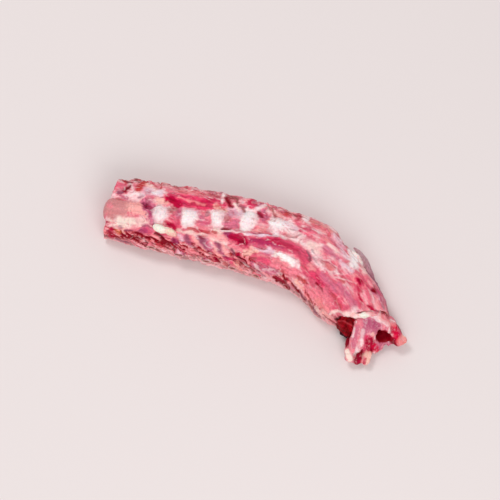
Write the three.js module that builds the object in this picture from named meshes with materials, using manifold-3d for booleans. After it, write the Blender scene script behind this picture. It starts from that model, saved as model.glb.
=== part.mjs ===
// A raw lamb backbone with the neck on it, as a butcher leaves it after boning: seven vertebrae of
// the back lie bare in a strip of flesh, the sawn rib stubs end in its two flanks, and the atlas, the
// first bone of the neck, stands out of the other end. It lies with the bodies of its vertebrae up.
// Millimetres, +Z up, +X towards the neck, the origin at the middle of the box it stands on.
import * as THREE from "three";
import { mergeVertices } from "three/addons/utils/BufferGeometryUtils.js";
import Module from "manifold-3d";

const wasm = await Module();
wasm.setup();

// ---- Driving dimensions ----

// The middle line of the piece in plan, nearly straight along the back and bent at the neck.
const MIDDLE_LINE = new THREE.CubicBezierCurve3(
  new THREE.Vector3(-136.2, 64.1, 0),
  new THREE.Vector3(-12.2, 35.1, 0),
  new THREE.Vector3(61.8, 41.1, 0),
  new THREE.Vector3(110.8, -62.9, 0),
);
const LINE_LENGTH = MIDDLE_LINE.getLength();

const FLESH_LENGTH = 272; // from the sawn end of the back to the joint with the atlas
const FLESH_RINGS = 52;
const TOP_POINTS = 20; // round each ring, above the widest line
const UNDER_POINTS = 8; // and below it
const TOP_SQUARENESS = 2.6; // of a ring: 2 would be an ellipse
const UNDER_SQUARENESS = 3.4;
const WIDEST = 0.4; // how high up a ring its widest line lies, of its height
const PRESSED_FLAT = 2.5; // that much of the round underside lies flat on the floor
const SAWN_INSET = 4.5; // the flesh's sawn end behind the bone's
const FAR_SAWN_INSET = 2; // more of it on the far side
const NEAR_END_SLANT = 0.34; // how far the neck's end runs back, of the distance to the near side
const FAR_END_SLANT = 0.45; // and how far it runs on, to the far side
const BONE_SIDES = 12; // round a vertebra or a disc
const GAP = 0.3; // between a bone and the flesh or bone beside it

const VERTEBRAE = 7;
const VERTEBRA_PITCH = 26.5;
const VERTEBRA_END_RADIUS = 11;
const VERTEBRA_WAIST_RADIUS = 8.8;
const VERTEBRA_SQUAT = 0.94; // its height over its width
const FIRST_JOINT = 27.5; // along the middle line
const VERTEBRA_AXIS_HEIGHT = 31;
const DISC_THICKNESS = 5;
const DISC_RADIUS = 11.6;
const DISC_CLEARANCE = 1; // on each face, so that a bend of the row closes no joint
const FURROW_DEPTH = 6; // of the flesh beside the row
const FURROW_WIDTH = 13;

const RIB_HALF_WIDTH = 4.6;
const RIB_HALF_THICKNESS = 3.2;
const RIB_START = 12.4; // from the vertebra's axis
const RIB_PROUD = 1.2; // the sawn end past the flesh
const RIB_TOP = 28.5; // the rib's axis at the row
const RIB_FALL = 9; // from the row to its sawn end
const RIB_LEAN = 4; // towards the tail, over the same length
const FAR_RIBS = 6;
const NEAR_RIBS = 5;

const ATLAS_START = 272; // where its ring begins, along the middle line
const CANAL_RADIUS = 5.8;

// Half widths and height of the flesh where they change, along the middle line.
const WIDTHS = [
  { at: 0, near: 27.5, far: 27, height: 38 },
  { at: 40, near: 31, far: 31, height: 41 },
  { at: 100, near: 35, far: 32.5, height: 42 },
  { at: 160, near: 36.5, far: 32.5, height: 43 },
  { at: 184, near: 34.5, far: 35, height: 44 },
  { at: 198, near: 33.5, far: 36.5, height: 44 },
  { at: 213, near: 34, far: 30, height: 44 },
  { at: 226, near: 35, far: 25.5, height: 43 },
  { at: 244, near: 36, far: 25, height: 42 },
  { at: 262, near: 31.5, far: 24.5, height: 39 },
  { at: 272, near: 25.5, far: 22, height: 32 },
];

// The muscles that stand out of the flesh, as spindles from one point to another. Each point is a
// distance along the middle line and a distance across it, which is positive on the far side.
const MUSCLES = {
  longNeckMuscle: { from: [112, -13], to: [208, -7], halfWidth: 7.5, rise: 3.6 },
  sideNeckMuscle: { from: [138, -27], to: [216, -22], halfWidth: 9, rise: 3.2 },
  straightNeckMuscle: { from: [198, -10], to: [270, -13], halfWidth: 13, rise: 3.2 },
  nearNeckEdge: { from: [204, -27], to: [264, -22], halfWidth: 6, rise: 2 },
  farNeckStrand: { from: [182, 15], to: [268, 7], halfWidth: 7, rise: 2.4 },
  farNeckEdge: { from: [190, 27], to: [268, 19], halfWidth: 6, rise: 2.4 },
  farBackMuscle: { from: [48, 12], to: [114, 17], halfWidth: 6, rise: 3 },
};

// ---- Curves and ramps ----

/** 0 below start, 1 above end, and an S between them. */
function ramp(x, start, end) {
  return THREE.MathUtils.smoothstep(x, start, end);
}

/** A bell of height 1 and half width w round middle. */
function bell(x, middle, w) {
  return Math.exp(-(((x - middle) / w) ** 2));
}

/** One of the WIDTHS at a distance along the middle line, eased between its stations. */
function sizeAt(name, along) {
  const next = WIDTHS.findIndex((station) => station.at > along);
  if (next <= 0) return WIDTHS.at(next)[name];
  const [a, b] = [WIDTHS[next - 1], WIDTHS[next]];
  return THREE.MathUtils.lerp(a[name], b[name], ramp(along, a.at, b.at));
}

/** The point at a distance along the middle line, across it and up. Both ends run on straight. */
function place(along, across, up) {
  const share = THREE.MathUtils.clamp(along / LINE_LENGTH, 0, 1);
  const ahead = MIDDLE_LINE.getTangentAt(share);
  const left = new THREE.Vector3(-ahead.y, ahead.x, 0);
  return MIDDLE_LINE.getPointAt(share)
    .addScaledVector(ahead, along - share * LINE_LENGTH)
    .addScaledVector(left, across)
    .setZ(up);
}

/** How far across the middle line the row of vertebrae lies. */
function rowOffset(along) {
  return -8.6 + 17 * ramp(along, 25, 178);
}

/** Where the joint before vertebra i lies along the middle line. */
function jointAt(i) {
  return FIRST_JOINT + (i - 1) * VERTEBRA_PITCH;
}

// ---- Solids ----

/** A closed manifold from a three.js geometry. */
function solid(geometry) {
  const bare = geometry.clone();
  bare.deleteAttribute("normal");
  bare.deleteAttribute("uv");
  const merged = mergeVertices(bare, 1e-4);
  return new wasm.Manifold(
    new wasm.Mesh({
      numProp: 3,
      vertProperties: merged.attributes.position.array,
      triVerts: new Uint32Array(merged.index.array),
    }),
  );
}

/** The manifold's faces as a geometry. */
function geometryOf(manifold) {
  const { vertProperties, triVerts } = manifold.getMesh();
  const geometry = new THREE.BufferGeometry()
    .setAttribute("position", new THREE.BufferAttribute(vertProperties, 3))
    .setIndex(new THREE.BufferAttribute(triVerts, 1));
  geometry.computeVertexNormals();
  return geometry;
}

/** A skin over closed rings of points, with a fan over each end. */
function loft(rings) {
  const points = rings.flat();
  const round = rings[0].length;
  const faces = [];
  for (let i = 0; i + 1 < rings.length; i++) {
    for (let j = 0; j < round; j++) {
      const a = i * round + j;
      const b = i * round + ((j + 1) % round);
      faces.push(a, a + round, b, b, a + round, b + round);
    }
  }
  const cap = (ring, first, flip) => {
    const middle = new THREE.Vector3();
    ring.forEach((p) => middle.addScaledVector(p, 1 / round));
    const hub = points.push(middle) - 1;
    for (let j = 0; j < round; j++) {
      const a = first + j;
      const b = first + ((j + 1) % round);
      faces.push(hub, flip ? b : a, flip ? a : b);
    }
  };
  cap(rings[0], 0, false);
  cap(rings.at(-1), (rings.length - 1) * round, true);
  const geometry = new THREE.BufferGeometry().setFromPoints(points);
  geometry.setIndex(faces);
  return geometry;
}

/** An ellipsoid of three radii round a middle point. */
function ellipsoid(middle, radii, grow = 0, around = 12, down = 8) {
  const geometry = new THREE.SphereGeometry(1, around, down);
  geometry.scale(radii[0] + grow, radii[1] + grow, radii[2] + grow);
  geometry.translate(...middle);
  return solid(geometry);
}

// ---- The flesh ----

/** How far a muscle lifts the flesh at a point: a half round across, and tapered to its two ends. */
function muscleRise({ from, to, halfWidth, rise }, along, across) {
  const [dx, dy] = [to[0] - from[0], to[1] - from[1]];
  const length = Math.hypot(dx, dy);
  const share = ((along - from[0]) * dx + (across - from[1]) * dy) / length ** 2;
  if (share <= 0 || share >= 1) return 0;
  const off = Math.abs((along - from[0]) * dy - (across - from[1]) * dx) / length;
  const taper = Math.sin(Math.PI * share) ** 0.6;
  return rise * taper * Math.sqrt(Math.max(0, 1 - (off / (halfWidth * taper)) ** 2));
}

/** The rise of the flesh's top: muscles, the furrow for the vertebrae and the ribs under the skin. */
function topRise(along, across) {
  const back = 1 - ramp(along, 168, 196);
  const fromRow = across - rowOffset(along);
  let rise = -FURROW_DEPTH * back * bell(fromRow, 0, FURROW_WIDTH);
  for (const muscle of Object.values(MUSCLES)) rise += muscleRise(muscle, along, across);
  for (let i = 1; i <= FAR_RIBS; i++) {
    rise += 1.4 * back * bell(along, jointAt(i), 5) * ramp(Math.abs(fromRow), 10, 20);
  }
  return rise;
}

/** The folds and trimmed edges of a flank: slanting bundles, deeper on the back than on the neck. */
function flankRise(along, up) {
  const slanted = along + 0.55 * up;
  const depth = 1.5 - 0.8 * ramp(along, 170, 230);
  return (
    depth * Math.sin((2 * Math.PI * slanted) / 13.3) +
    0.7 * Math.sin((2 * Math.PI * slanted) / 8.1 + 1)
  );
}

/** How far the sawn end of the back is set in, which is more on the far side. */
function endInset(across) {
  return SAWN_INSET + FAR_SAWN_INSET * ramp(across, -3, 12);
}

/** A point of the flesh's skin. share runs from the back's end to the neck's, turn once round. */
function fleshPoint(share, turn) {
  const nominal = share * FLESH_LENGTH;
  const height = sizeAt("height", nominal) + PRESSED_FLAT;
  const upper = turn < Math.PI;
  const [c, s] = [-Math.cos(turn), Math.sin(turn)];
  const power = 2 / (upper ? TOP_SQUARENESS : UNDER_SQUARENESS);
  const halfWidth = sizeAt(c < 0 ? "near" : "far", nominal);
  const widest = WIDEST * height;
  let across = halfWidth * Math.sign(c) * Math.abs(c) ** power;
  let up = widest - PRESSED_FLAT;
  up += (upper ? height - widest : widest) * Math.sign(s) * Math.abs(s) ** power;
  const side = Math.abs(across) / halfWidth;
  across += Math.sign(c) * ramp(side, 0.75, 1) * flankRise(nominal, up);
  if (upper) up += topRise(nominal, across) * ramp(s, 0.15, 0.6);
  const slant = across < 0 ? NEAR_END_SLANT : FAR_END_SLANT;
  const endShift = endInset(across) * (1 - share) ** 6 + slant * across * share ** 8;
  return place(nominal + endShift, across, Math.max(0, up));
}

/** The whole strip of flesh, before the bones are cut out of it. */
function fleshBlock() {
  const turns = [
    ...Array.from({ length: TOP_POINTS }, (_, j) => (Math.PI * j) / TOP_POINTS),
    ...Array.from({ length: UNDER_POINTS }, (_, j) => Math.PI * (1 + j / UNDER_POINTS)),
  ];
  const rings = Array.from({ length: FLESH_RINGS + 1 }, (_, i) =>
    turns.map((turn) => fleshPoint(i / FLESH_RINGS, turn)),
  );
  return solid(loft(rings));
}

/** A sliver of flesh that was cut loose along the far side of the neck, with a free tip. */
function neckSliver() {
  const [start, length, thick, tall, bottom] = [220, 46, 2.2, 6.8, 25];
  const rings = Array.from({ length: 12 }, (_, i) => {
    const share = (i + 0.3) / 11.6;
    const full = Math.sin(Math.PI * (0.04 + 0.92 * share)) ** 0.6;
    const halfHeight = tall * full * (0.5 + 0.5 * ramp(share, 0, 0.5));
    const [across, middle] = [32 - 9 * share, bottom + tall * full - halfHeight];
    return Array.from({ length: 10 }, (_, j) => {
      const turn = (2 * Math.PI * j) / 10;
      return place(
        start + share * length,
        across - thick * full * Math.cos(turn),
        middle + halfHeight * Math.sin(turn),
      );
    });
  });
  return solid(loft(rings));
}

// ---- The bones ----

/** The body of a vertebra: a drum with a waist, lying along the row. The first, which the saw and
 * the knife went through, has no waist and a rounded front. */
function vertebra(i) {
  const inset = DISC_THICKNESS / 2 + DISC_CLEARANCE;
  const sawn = i === 0;
  const [start, end] = [jointAt(i) + (sawn ? 0 : inset), jointAt(i + 1) - inset].map((s) =>
    place(s, rowOffset(s), 0),
  );
  const middle = start.clone().add(end).multiplyScalar(0.5);
  const half = start.distanceTo(end) / 2;
  const chamfer = 1.2;
  const lip = 2;
  const front = sawn
    ? [
        [6.5, -half + 0.6],
        [9.4, -half + 2.6],
        [VERTEBRA_END_RADIUS - 0.3, -half + 6],
      ]
    : [
        [VERTEBRA_END_RADIUS - chamfer, -half],
        [VERTEBRA_END_RADIUS, -half + lip],
        [VERTEBRA_WAIST_RADIUS, -half * 0.3],
        [VERTEBRA_WAIST_RADIUS, half * 0.3],
      ];
  const profile = [
    [0, -half],
    ...front,
    [VERTEBRA_END_RADIUS, half - lip],
    [VERTEBRA_END_RADIUS - chamfer, half],
    [0, half],
  ].map(([r, y]) => new THREE.Vector2(r, y));
  return layAlongRow(new THREE.LatheGeometry(profile, BONE_SIDES), middle, end.sub(start));
}

/** A lathed shape turned from +Y onto the row of vertebrae, squatter than it is wide. */
function layAlongRow(shape, middle, ahead) {
  shape.rotateZ(-Math.PI / 2);
  shape.scale(1, 1, VERTEBRA_SQUAT);
  shape.rotateZ(Math.atan2(ahead.y, ahead.x));
  shape.translate(middle.x, middle.y, VERTEBRA_AXIS_HEIGHT);
  return solid(shape);
}

/** The disc of cartilage at joint i: a flat drum whose rim bulges. */
function disc(i) {
  const at = (joint) => place(jointAt(joint), rowOffset(jointAt(joint)), 0);
  const half = DISC_THICKNESS / 2;
  const bulge = [-1, 0, 1].map(
    (y) => new THREE.Vector2(DISC_RADIUS - 1.1 * y * y, half * y),
  );
  const profile = [new THREE.Vector2(0, -half), ...bulge, new THREE.Vector2(0, half)];
  return layAlongRow(new THREE.LatheGeometry(profile, BONE_SIDES), at(i), at(i + 1).sub(at(i - 1)));
}

/** The room that the whole row takes up in the flesh, from its sawn end to its last disc. */
function rowTrough() {
  const first = jointAt(0) - 1;
  const last = jointAt(VERTEBRAE) + DISC_THICKNESS / 2 + GAP;
  const radius = DISC_RADIUS + DISC_CLEARANCE;
  const rings = Array.from({ length: VERTEBRAE + 1 }, (_, k) => {
    const along = THREE.MathUtils.lerp(first, last, k / VERTEBRAE);
    return Array.from({ length: BONE_SIDES }, (_, j) => {
      const turn = (2 * Math.PI * (j + 0.5)) / BONE_SIDES;
      const up = VERTEBRA_AXIS_HEIGHT + radius * VERTEBRA_SQUAT * Math.sin(turn);
      return place(along, rowOffset(along) - radius * Math.cos(turn), up);
    });
  });
  return solid(loft(rings));
}

/** A rib stub beside joint i, from the row of vertebrae to its sawn end. side is +1 for far. */
function rib(i, side, grow = 0) {
  const along = jointAt(i);
  const row = rowOffset(along);
  const inner = row + side * RIB_START;
  const outer = side * (sizeAt(side > 0 ? "far" : "near", along) + RIB_PROUD);
  const steps = 3;
  const rings = Array.from({ length: steps + 1 }, (_, k) => {
    const share = k / steps;
    const endGrow = side * grow * (k === 0 ? -1 : k === steps ? 1 : 0);
    const across = THREE.MathUtils.lerp(inner, outer, share) + endGrow;
    const up = RIB_TOP - RIB_FALL * share;
    return Array.from({ length: 10 }, (_, j) => {
      const turn = (side * 2 * Math.PI * j) / 10;
      return place(
        along - RIB_LEAN * share + (RIB_HALF_WIDTH + grow) * Math.cos(turn),
        across,
        up + (RIB_HALF_THICKNESS + grow) * Math.sin(turn),
      );
    });
  });
  return solid(loft(rings));
}

/** The white cartilage of a rib's head, cut open on the near edge of the row: two joined lobes. */
function cartilageKnob(grow = 0) {
  const lobe = (along, across, up, radii) => {
    const at = place(along, across, up);
    const ahead = MIDDLE_LINE.getTangentAt(along / LINE_LENGTH);
    return ellipsoid([0, 0, 0], radii, grow)
      .rotate([0, 0, THREE.MathUtils.radToDeg(Math.atan2(ahead.y, ahead.x)) - 14])
      .translate(at.toArray());
  };
  return lobe(56, -20.6, 38.8, [7.2, 3.8, 4.2]).add(lobe(66.5, -21.4, 37.2, [7, 3.8, 4]));
}

/** The atlas, drawn from the middle of its back edge with +X out of the neck: a ring round the
 * canal, two wings, a scrap of muscle down its near side, and the prongs that held the skull. */
function atlas(grow = 0) {
  const tube = (back, front, middle, up, halfWidth, halfHeight) => {
    const geometry = new THREE.CylinderGeometry(1, 1, front - back, 18);
    geometry.rotateZ(-Math.PI / 2);
    geometry.scale(1, halfWidth, halfHeight);
    geometry.translate((front + back) / 2, middle, up);
    return solid(geometry);
  };
  const lump = (middle, radii, lean, turn) =>
    ellipsoid([0, 0, 0], radii, grow).rotate([lean, 0, turn]).translate(middle);
  const ball = (middle, radius) => ellipsoid(middle, [radius, radius, radius], grow, 10, 6);
  const rod = (start, first, end, last) =>
    wasm.Manifold.hull([ball(start, first), ball(end, last)]);

  let ring = tube(-3 - grow, 31, 2, 17, 15.5 + grow, 13.6 + grow);
  if (grow === 0) ring = ring.subtract(frontSlope());
  const nearWing = lump([18, -18, 11], [14, 9.5, 4.8], 12, -38);
  const farWing = lump([15, 15, 15], [14, 9, 5], -12, 8);
  const muscle = rod([7, -9, 26], 5, [18, -17, 18], 5.5).add(
    rod([18, -17, 18], 5.5, [27, -27, 11], 3.8),
  );
  const nearProngs = rod([29, -11.5, 8.5], 5.2, [35, -15.8, 7.2], 4.2)
    .add(rod([22, -25, 9], 4.8, [27.6, -29.8, 9.5], 2.8))
    .add(lump([28, -20.5, 5.5], [8.5, 7, 4.6], 0, -38));
  const farProng = rod([20, 14, 17], 8.4, [32, 19.6, 10.5], 6.2);
  let bone = wasm.Manifold.union([ring, nearWing, farWing, muscle, nearProngs, farProng]);
  if (grow === 0) {
    bone = bone
      .subtract(tube(-30, 60, 6.2, 18, CANAL_RADIUS, CANAL_RADIUS))
      .subtract(ellipsoid([30, -6, 20], [6, 4.5, 7]))
      .subtract(ellipsoid([34.5, -22, 17], [6.5, 3.6, 7]));
  }
  const ahead = MIDDLE_LINE.getTangentAt(1);
  return bone
    .rotate([0, 0, THREE.MathUtils.radToDeg(Math.atan2(ahead.y, ahead.x))])
    .translate(place(ATLAS_START, 0, 0).toArray());
}

/** What is missing in front of the ring, whose upper arch is shorter than its lower one. */
function frontSlope() {
  const block = new THREE.BoxGeometry(40, 80, 60);
  block.translate(20, 0, 0);
  block.rotateY(THREE.MathUtils.degToRad(-27));
  block.translate(25, 0, 17);
  return solid(block);
}

// ---- The whole piece ----

const finishes = {
  flesh: { color: 0xc4525c, roughness: 0.42 },
  bone: { color: 0xe3b3a8, roughness: 0.4 },
  endBone: { color: 0xd9968d, roughness: 0.45 },
  cartilage: { color: 0xf3e8dc, roughness: 0.25 },
};

const lambBackbone = new THREE.Group();

function addPiece(name, manifold, finish) {
  const material = new THREE.MeshStandardMaterial({ ...finishes[finish], metalness: 0 });
  const mesh = new THREE.Mesh(geometryOf(manifold), material);
  mesh.name = name;
  lambBackbone.add(mesh);
}

const numbers = (count) => Array.from({ length: count }, (_, k) => k + 1);
const bones = [
  ...numbers(VERTEBRAE).map((i) => ({
    name: `vertebra_${i}`,
    make: () => vertebra(i - 1),
    finish: i === 1 ? "endBone" : "bone",
    inRow: true,
  })),
  ...numbers(VERTEBRAE).map((i) => ({
    name: `disc_${i}`,
    make: () => disc(i),
    finish: "cartilage",
    inRow: true,
  })),
  ...numbers(FAR_RIBS).map((i) => ({
    name: `rib_far_${i}`,
    make: (grow) => rib(i, 1, grow),
    finish: "bone",
  })),
  ...numbers(NEAR_RIBS).map((i) => ({
    name: `rib_near_${i}`,
    make: (grow) => rib(i + 1, -1, grow),
    finish: "bone",
  })),
  { name: "cartilage_knob", make: cartilageKnob, finish: "cartilage" },
  { name: "atlas", make: atlas, finish: "bone" },
];

let flesh = fleshBlock().add(neckSliver()).subtract(rowTrough());
for (const { name, make, finish, inRow } of bones) {
  addPiece(name, make(0), finish);
  if (!inRow) flesh = flesh.subtract(make(GAP));
}
addPiece("flesh", flesh, "flesh");

export default lambBackbone;
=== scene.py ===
"""A raw lamb backbone with the neck on it, as it leaves the boning table: seven vertebrae of the
back lie bare in a strip of flesh, and the atlas stands out of the neck's end. It lies with the
bodies of its vertebrae up. Lengths are in millimetres until a mesh is made, which is in metres."""

import bpy
import numpy as np
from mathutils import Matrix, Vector


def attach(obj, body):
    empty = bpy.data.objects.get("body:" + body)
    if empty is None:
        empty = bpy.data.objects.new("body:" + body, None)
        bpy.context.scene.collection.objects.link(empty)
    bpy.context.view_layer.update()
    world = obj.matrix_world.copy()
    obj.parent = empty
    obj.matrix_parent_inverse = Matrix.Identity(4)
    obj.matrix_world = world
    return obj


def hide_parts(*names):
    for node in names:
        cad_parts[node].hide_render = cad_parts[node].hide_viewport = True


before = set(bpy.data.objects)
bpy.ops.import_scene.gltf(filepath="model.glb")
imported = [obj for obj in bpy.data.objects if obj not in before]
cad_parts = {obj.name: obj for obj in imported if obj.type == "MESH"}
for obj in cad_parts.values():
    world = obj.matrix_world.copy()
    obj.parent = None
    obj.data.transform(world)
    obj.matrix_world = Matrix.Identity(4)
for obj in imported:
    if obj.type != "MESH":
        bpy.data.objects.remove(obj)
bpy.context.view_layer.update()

# ---- Flesh ----
# The strip of raw lamb that the knife left round the row of vertebrae: muscle in its fascia, with
# fat and membrane between, trimmed along both flanks. It is one piece, grown onto every bone.

# The middle line in plan, from the sawn end of the back to the front of the atlas.
CURVE = np.array([[-136.2, 64.1], [-12.2, 35.1], [61.8, 41.1], [110.8, -62.9]])
share = np.linspace(0, 1, 4001)[:, None]
line = (
    (1 - share) ** 3 * CURVE[0]
    + 3 * (1 - share) ** 2 * share * CURVE[1]
    + 3 * (1 - share) * share**2 * CURVE[2]
    + share**3 * CURVE[3]
)
line_along = np.r_[0, np.cumsum(np.hypot(*np.diff(line, axis=0).T))]
line_ahead = np.gradient(line, axis=0)
line_ahead /= np.linalg.norm(line_ahead, axis=1)[:, None]

FLESH_LENGTH = 272
FIRST_JOINT, PITCH = 27.5, 26.5
AXIS_HEIGHT, SQUAT = 31, 0.94
# Half widths on the near and far side, and the height, at distances along the middle line.
STATIONS = np.array([0, 40, 100, 160, 184, 198, 213, 226, 244, 262, 272])
NEAR = np.array([27.5, 31, 35, 36.5, 34.5, 33.5, 34, 35, 36, 31.5, 25.5])
FAR = np.array([27, 31, 32.5, 32.5, 35, 36.5, 30, 25.5, 25, 24.5, 22])
HEIGHT = np.array([38, 41, 42, 43, 44, 44, 44, 43, 42, 39, 32])
BELOW_FLOOR = 2.5  # that much of the round underside is pressed flat
FURROW_DEPTH, FURROW_WIDTH = 4, 13  # of the hollow in the flesh that the row lies in
UPPER_POWER, LOWER_POWER = 2 / 2.6, 2 / 3.4  # of the squared oval; 1 would be round


def place(along, across, up):
    """The point at a distance along the middle line, across it and up; past its ends it runs on
    straight."""
    along, across, up = np.broadcast_arrays(np.asarray(along, float), across, up)
    on = np.clip(along, 0, line_along[-1])
    x, y = (np.interp(on, line_along, line[:, k]) for k in (0, 1))
    ahead_x, ahead_y = (np.interp(on, line_along, line_ahead[:, k]) for k in (0, 1))
    past = along - on
    return np.stack(
        [x + ahead_x * past - ahead_y * across, y + ahead_y * past + ahead_x * across, up], -1
    )


def ramp(x, start, end):
    """0 below start, 1 above end, and an S between them."""
    t = np.clip((np.asarray(x, float) - start) / (end - start), 0, 1)
    return t * t * (3 - 2 * t)


def bell(x, middle, width):
    """A bell of height 1 round middle."""
    return np.exp(-(((x - middle) / width) ** 2))


# Large odd numbers, which scramble a whole-number point and a seed into a random number.
POINT_KEYS = (374761393, 668265263, 2147483647)
SEED_KEY = 1013904223
SCRAMBLES = ((13, 1274126177), (16, 2246822519))
ALL_BITS = 0xFFFFFFFF


def noise(x, y, z=0.0, seed=0):
    """Value noise from -1 to 1: a random value at each whole-number point, eased in between."""
    x, y, z = np.broadcast_arrays(x, y, z)
    floor = [np.floor(c).astype(np.int64) for c in (x, y, z)]
    part = [c - f for c, f in zip((x, y, z), floor)]
    ease = [p * p * (3 - 2 * p) for p in part]
    total = np.zeros(x.shape)
    for corner in range(8):
        step = [(corner >> k) & 1 for k in range(3)]
        key = sum((f + s) * k for f, s, k in zip(floor, step, POINT_KEYS))
        key = (key + seed * SEED_KEY) & ALL_BITS
        for shift, multiple in SCRAMBLES:
            key = ((key ^ (key >> shift)) * multiple) & ALL_BITS
        value = (key ^ (key >> 15)) / (ALL_BITS // 2) - 1
        total += value * np.prod([e if s else 1 - e for e, s in zip(ease, step)], axis=0)
    return total


def rough_noise(x, y, z=0.0, seed=0, octaves=3):
    """Noise with finer noise on it, each octave half as wide and half as high."""
    return sum(0.55**k * noise(x * 2**k, y * 2**k, z * 2**k, seed + k) for k in range(octaves))


def eased(values, along):
    """A station's value, eased between the stations."""
    along = np.clip(along, 0, STATIONS[-1] - 1e-6)
    k = np.searchsorted(STATIONS, along, side="right") - 1
    return values[k] + (values[k + 1] - values[k]) * ramp(along, STATIONS[k], STATIONS[k + 1])


def row_offset(along):
    """How far across the middle line the row of vertebrae lies: it crosses over to the far side."""
    return -8.6 + 17 * ramp(along, 25, 178)


def on_back(along):
    """1 along the back, 0 along the neck, and an S where the bare vertebrae go under the flesh."""
    return 1 - ramp(along, 168, 196)


def section(along, turn):
    """Across and up of a ring before its relief: a squared oval, pressed flat on the floor."""
    height = eased(HEIGHT, along) + BELOW_FLOOR
    cos, sin = -np.cos(turn), np.sin(turn)
    upper = sin > 0
    power = np.where(upper, UPPER_POWER, LOWER_POWER)
    half = np.where(cos < 0, eased(NEAR, along), eased(FAR, along))
    widest = 0.4 * height
    across = half * np.sign(cos) * np.abs(cos) ** power
    up = widest - BELOW_FLOOR
    up = up + np.where(upper, height - widest, widest) * np.sign(sin) * np.abs(sin) ** power
    furrow = FURROW_DEPTH * on_back(along) * bell(across - row_offset(along), 0, FURROW_WIDTH)
    return across, np.maximum(up - np.where(upper, furrow * ramp(sin, 0.15, 0.6), 0), 0)


# The colours of the tissues, as they look in plain white light.
TISSUES = {
    "clot": "#4A0008",
    "dark muscle": "#82061C",
    "crimson": "#B4143C",
    "fresh red": "#D41840",
    "red muscle": "#DE5270",
    "muscle": "#DB5F78",
    "pink muscle": "#E98693",
    "salmon": "#EE9292",
    "pale salmon": "#FEB2AE",
    "bright trim": "#FA9EA2",
    "brick": "#C04848",
    "rose": "#C87088",
    "purple": "#A03A62",
    "mauve": "#8C4A60",
    "brown": "#9A5654",
    "grey": "#A88088",
    "peach": "#FBC5B8",
    "orange fat": "#E88A62",
    "cream fat": "#FBE6DA",
    "rosy fat": "#FBD6D0",
    "fascia": "#FCE4E4",
    "white": "#FDF0F0",
    "lavender": "#EACDDA",
    "sawn bone": "#D48E90",
}

FIBROUS = ("dark muscle", "crimson", "red muscle", "muscle", "pink muscle", "purple", "rose")
SOFT = ("white", "fascia", "lavender", "cream fat", "rosy fat", "peach", "pale salmon")

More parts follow.
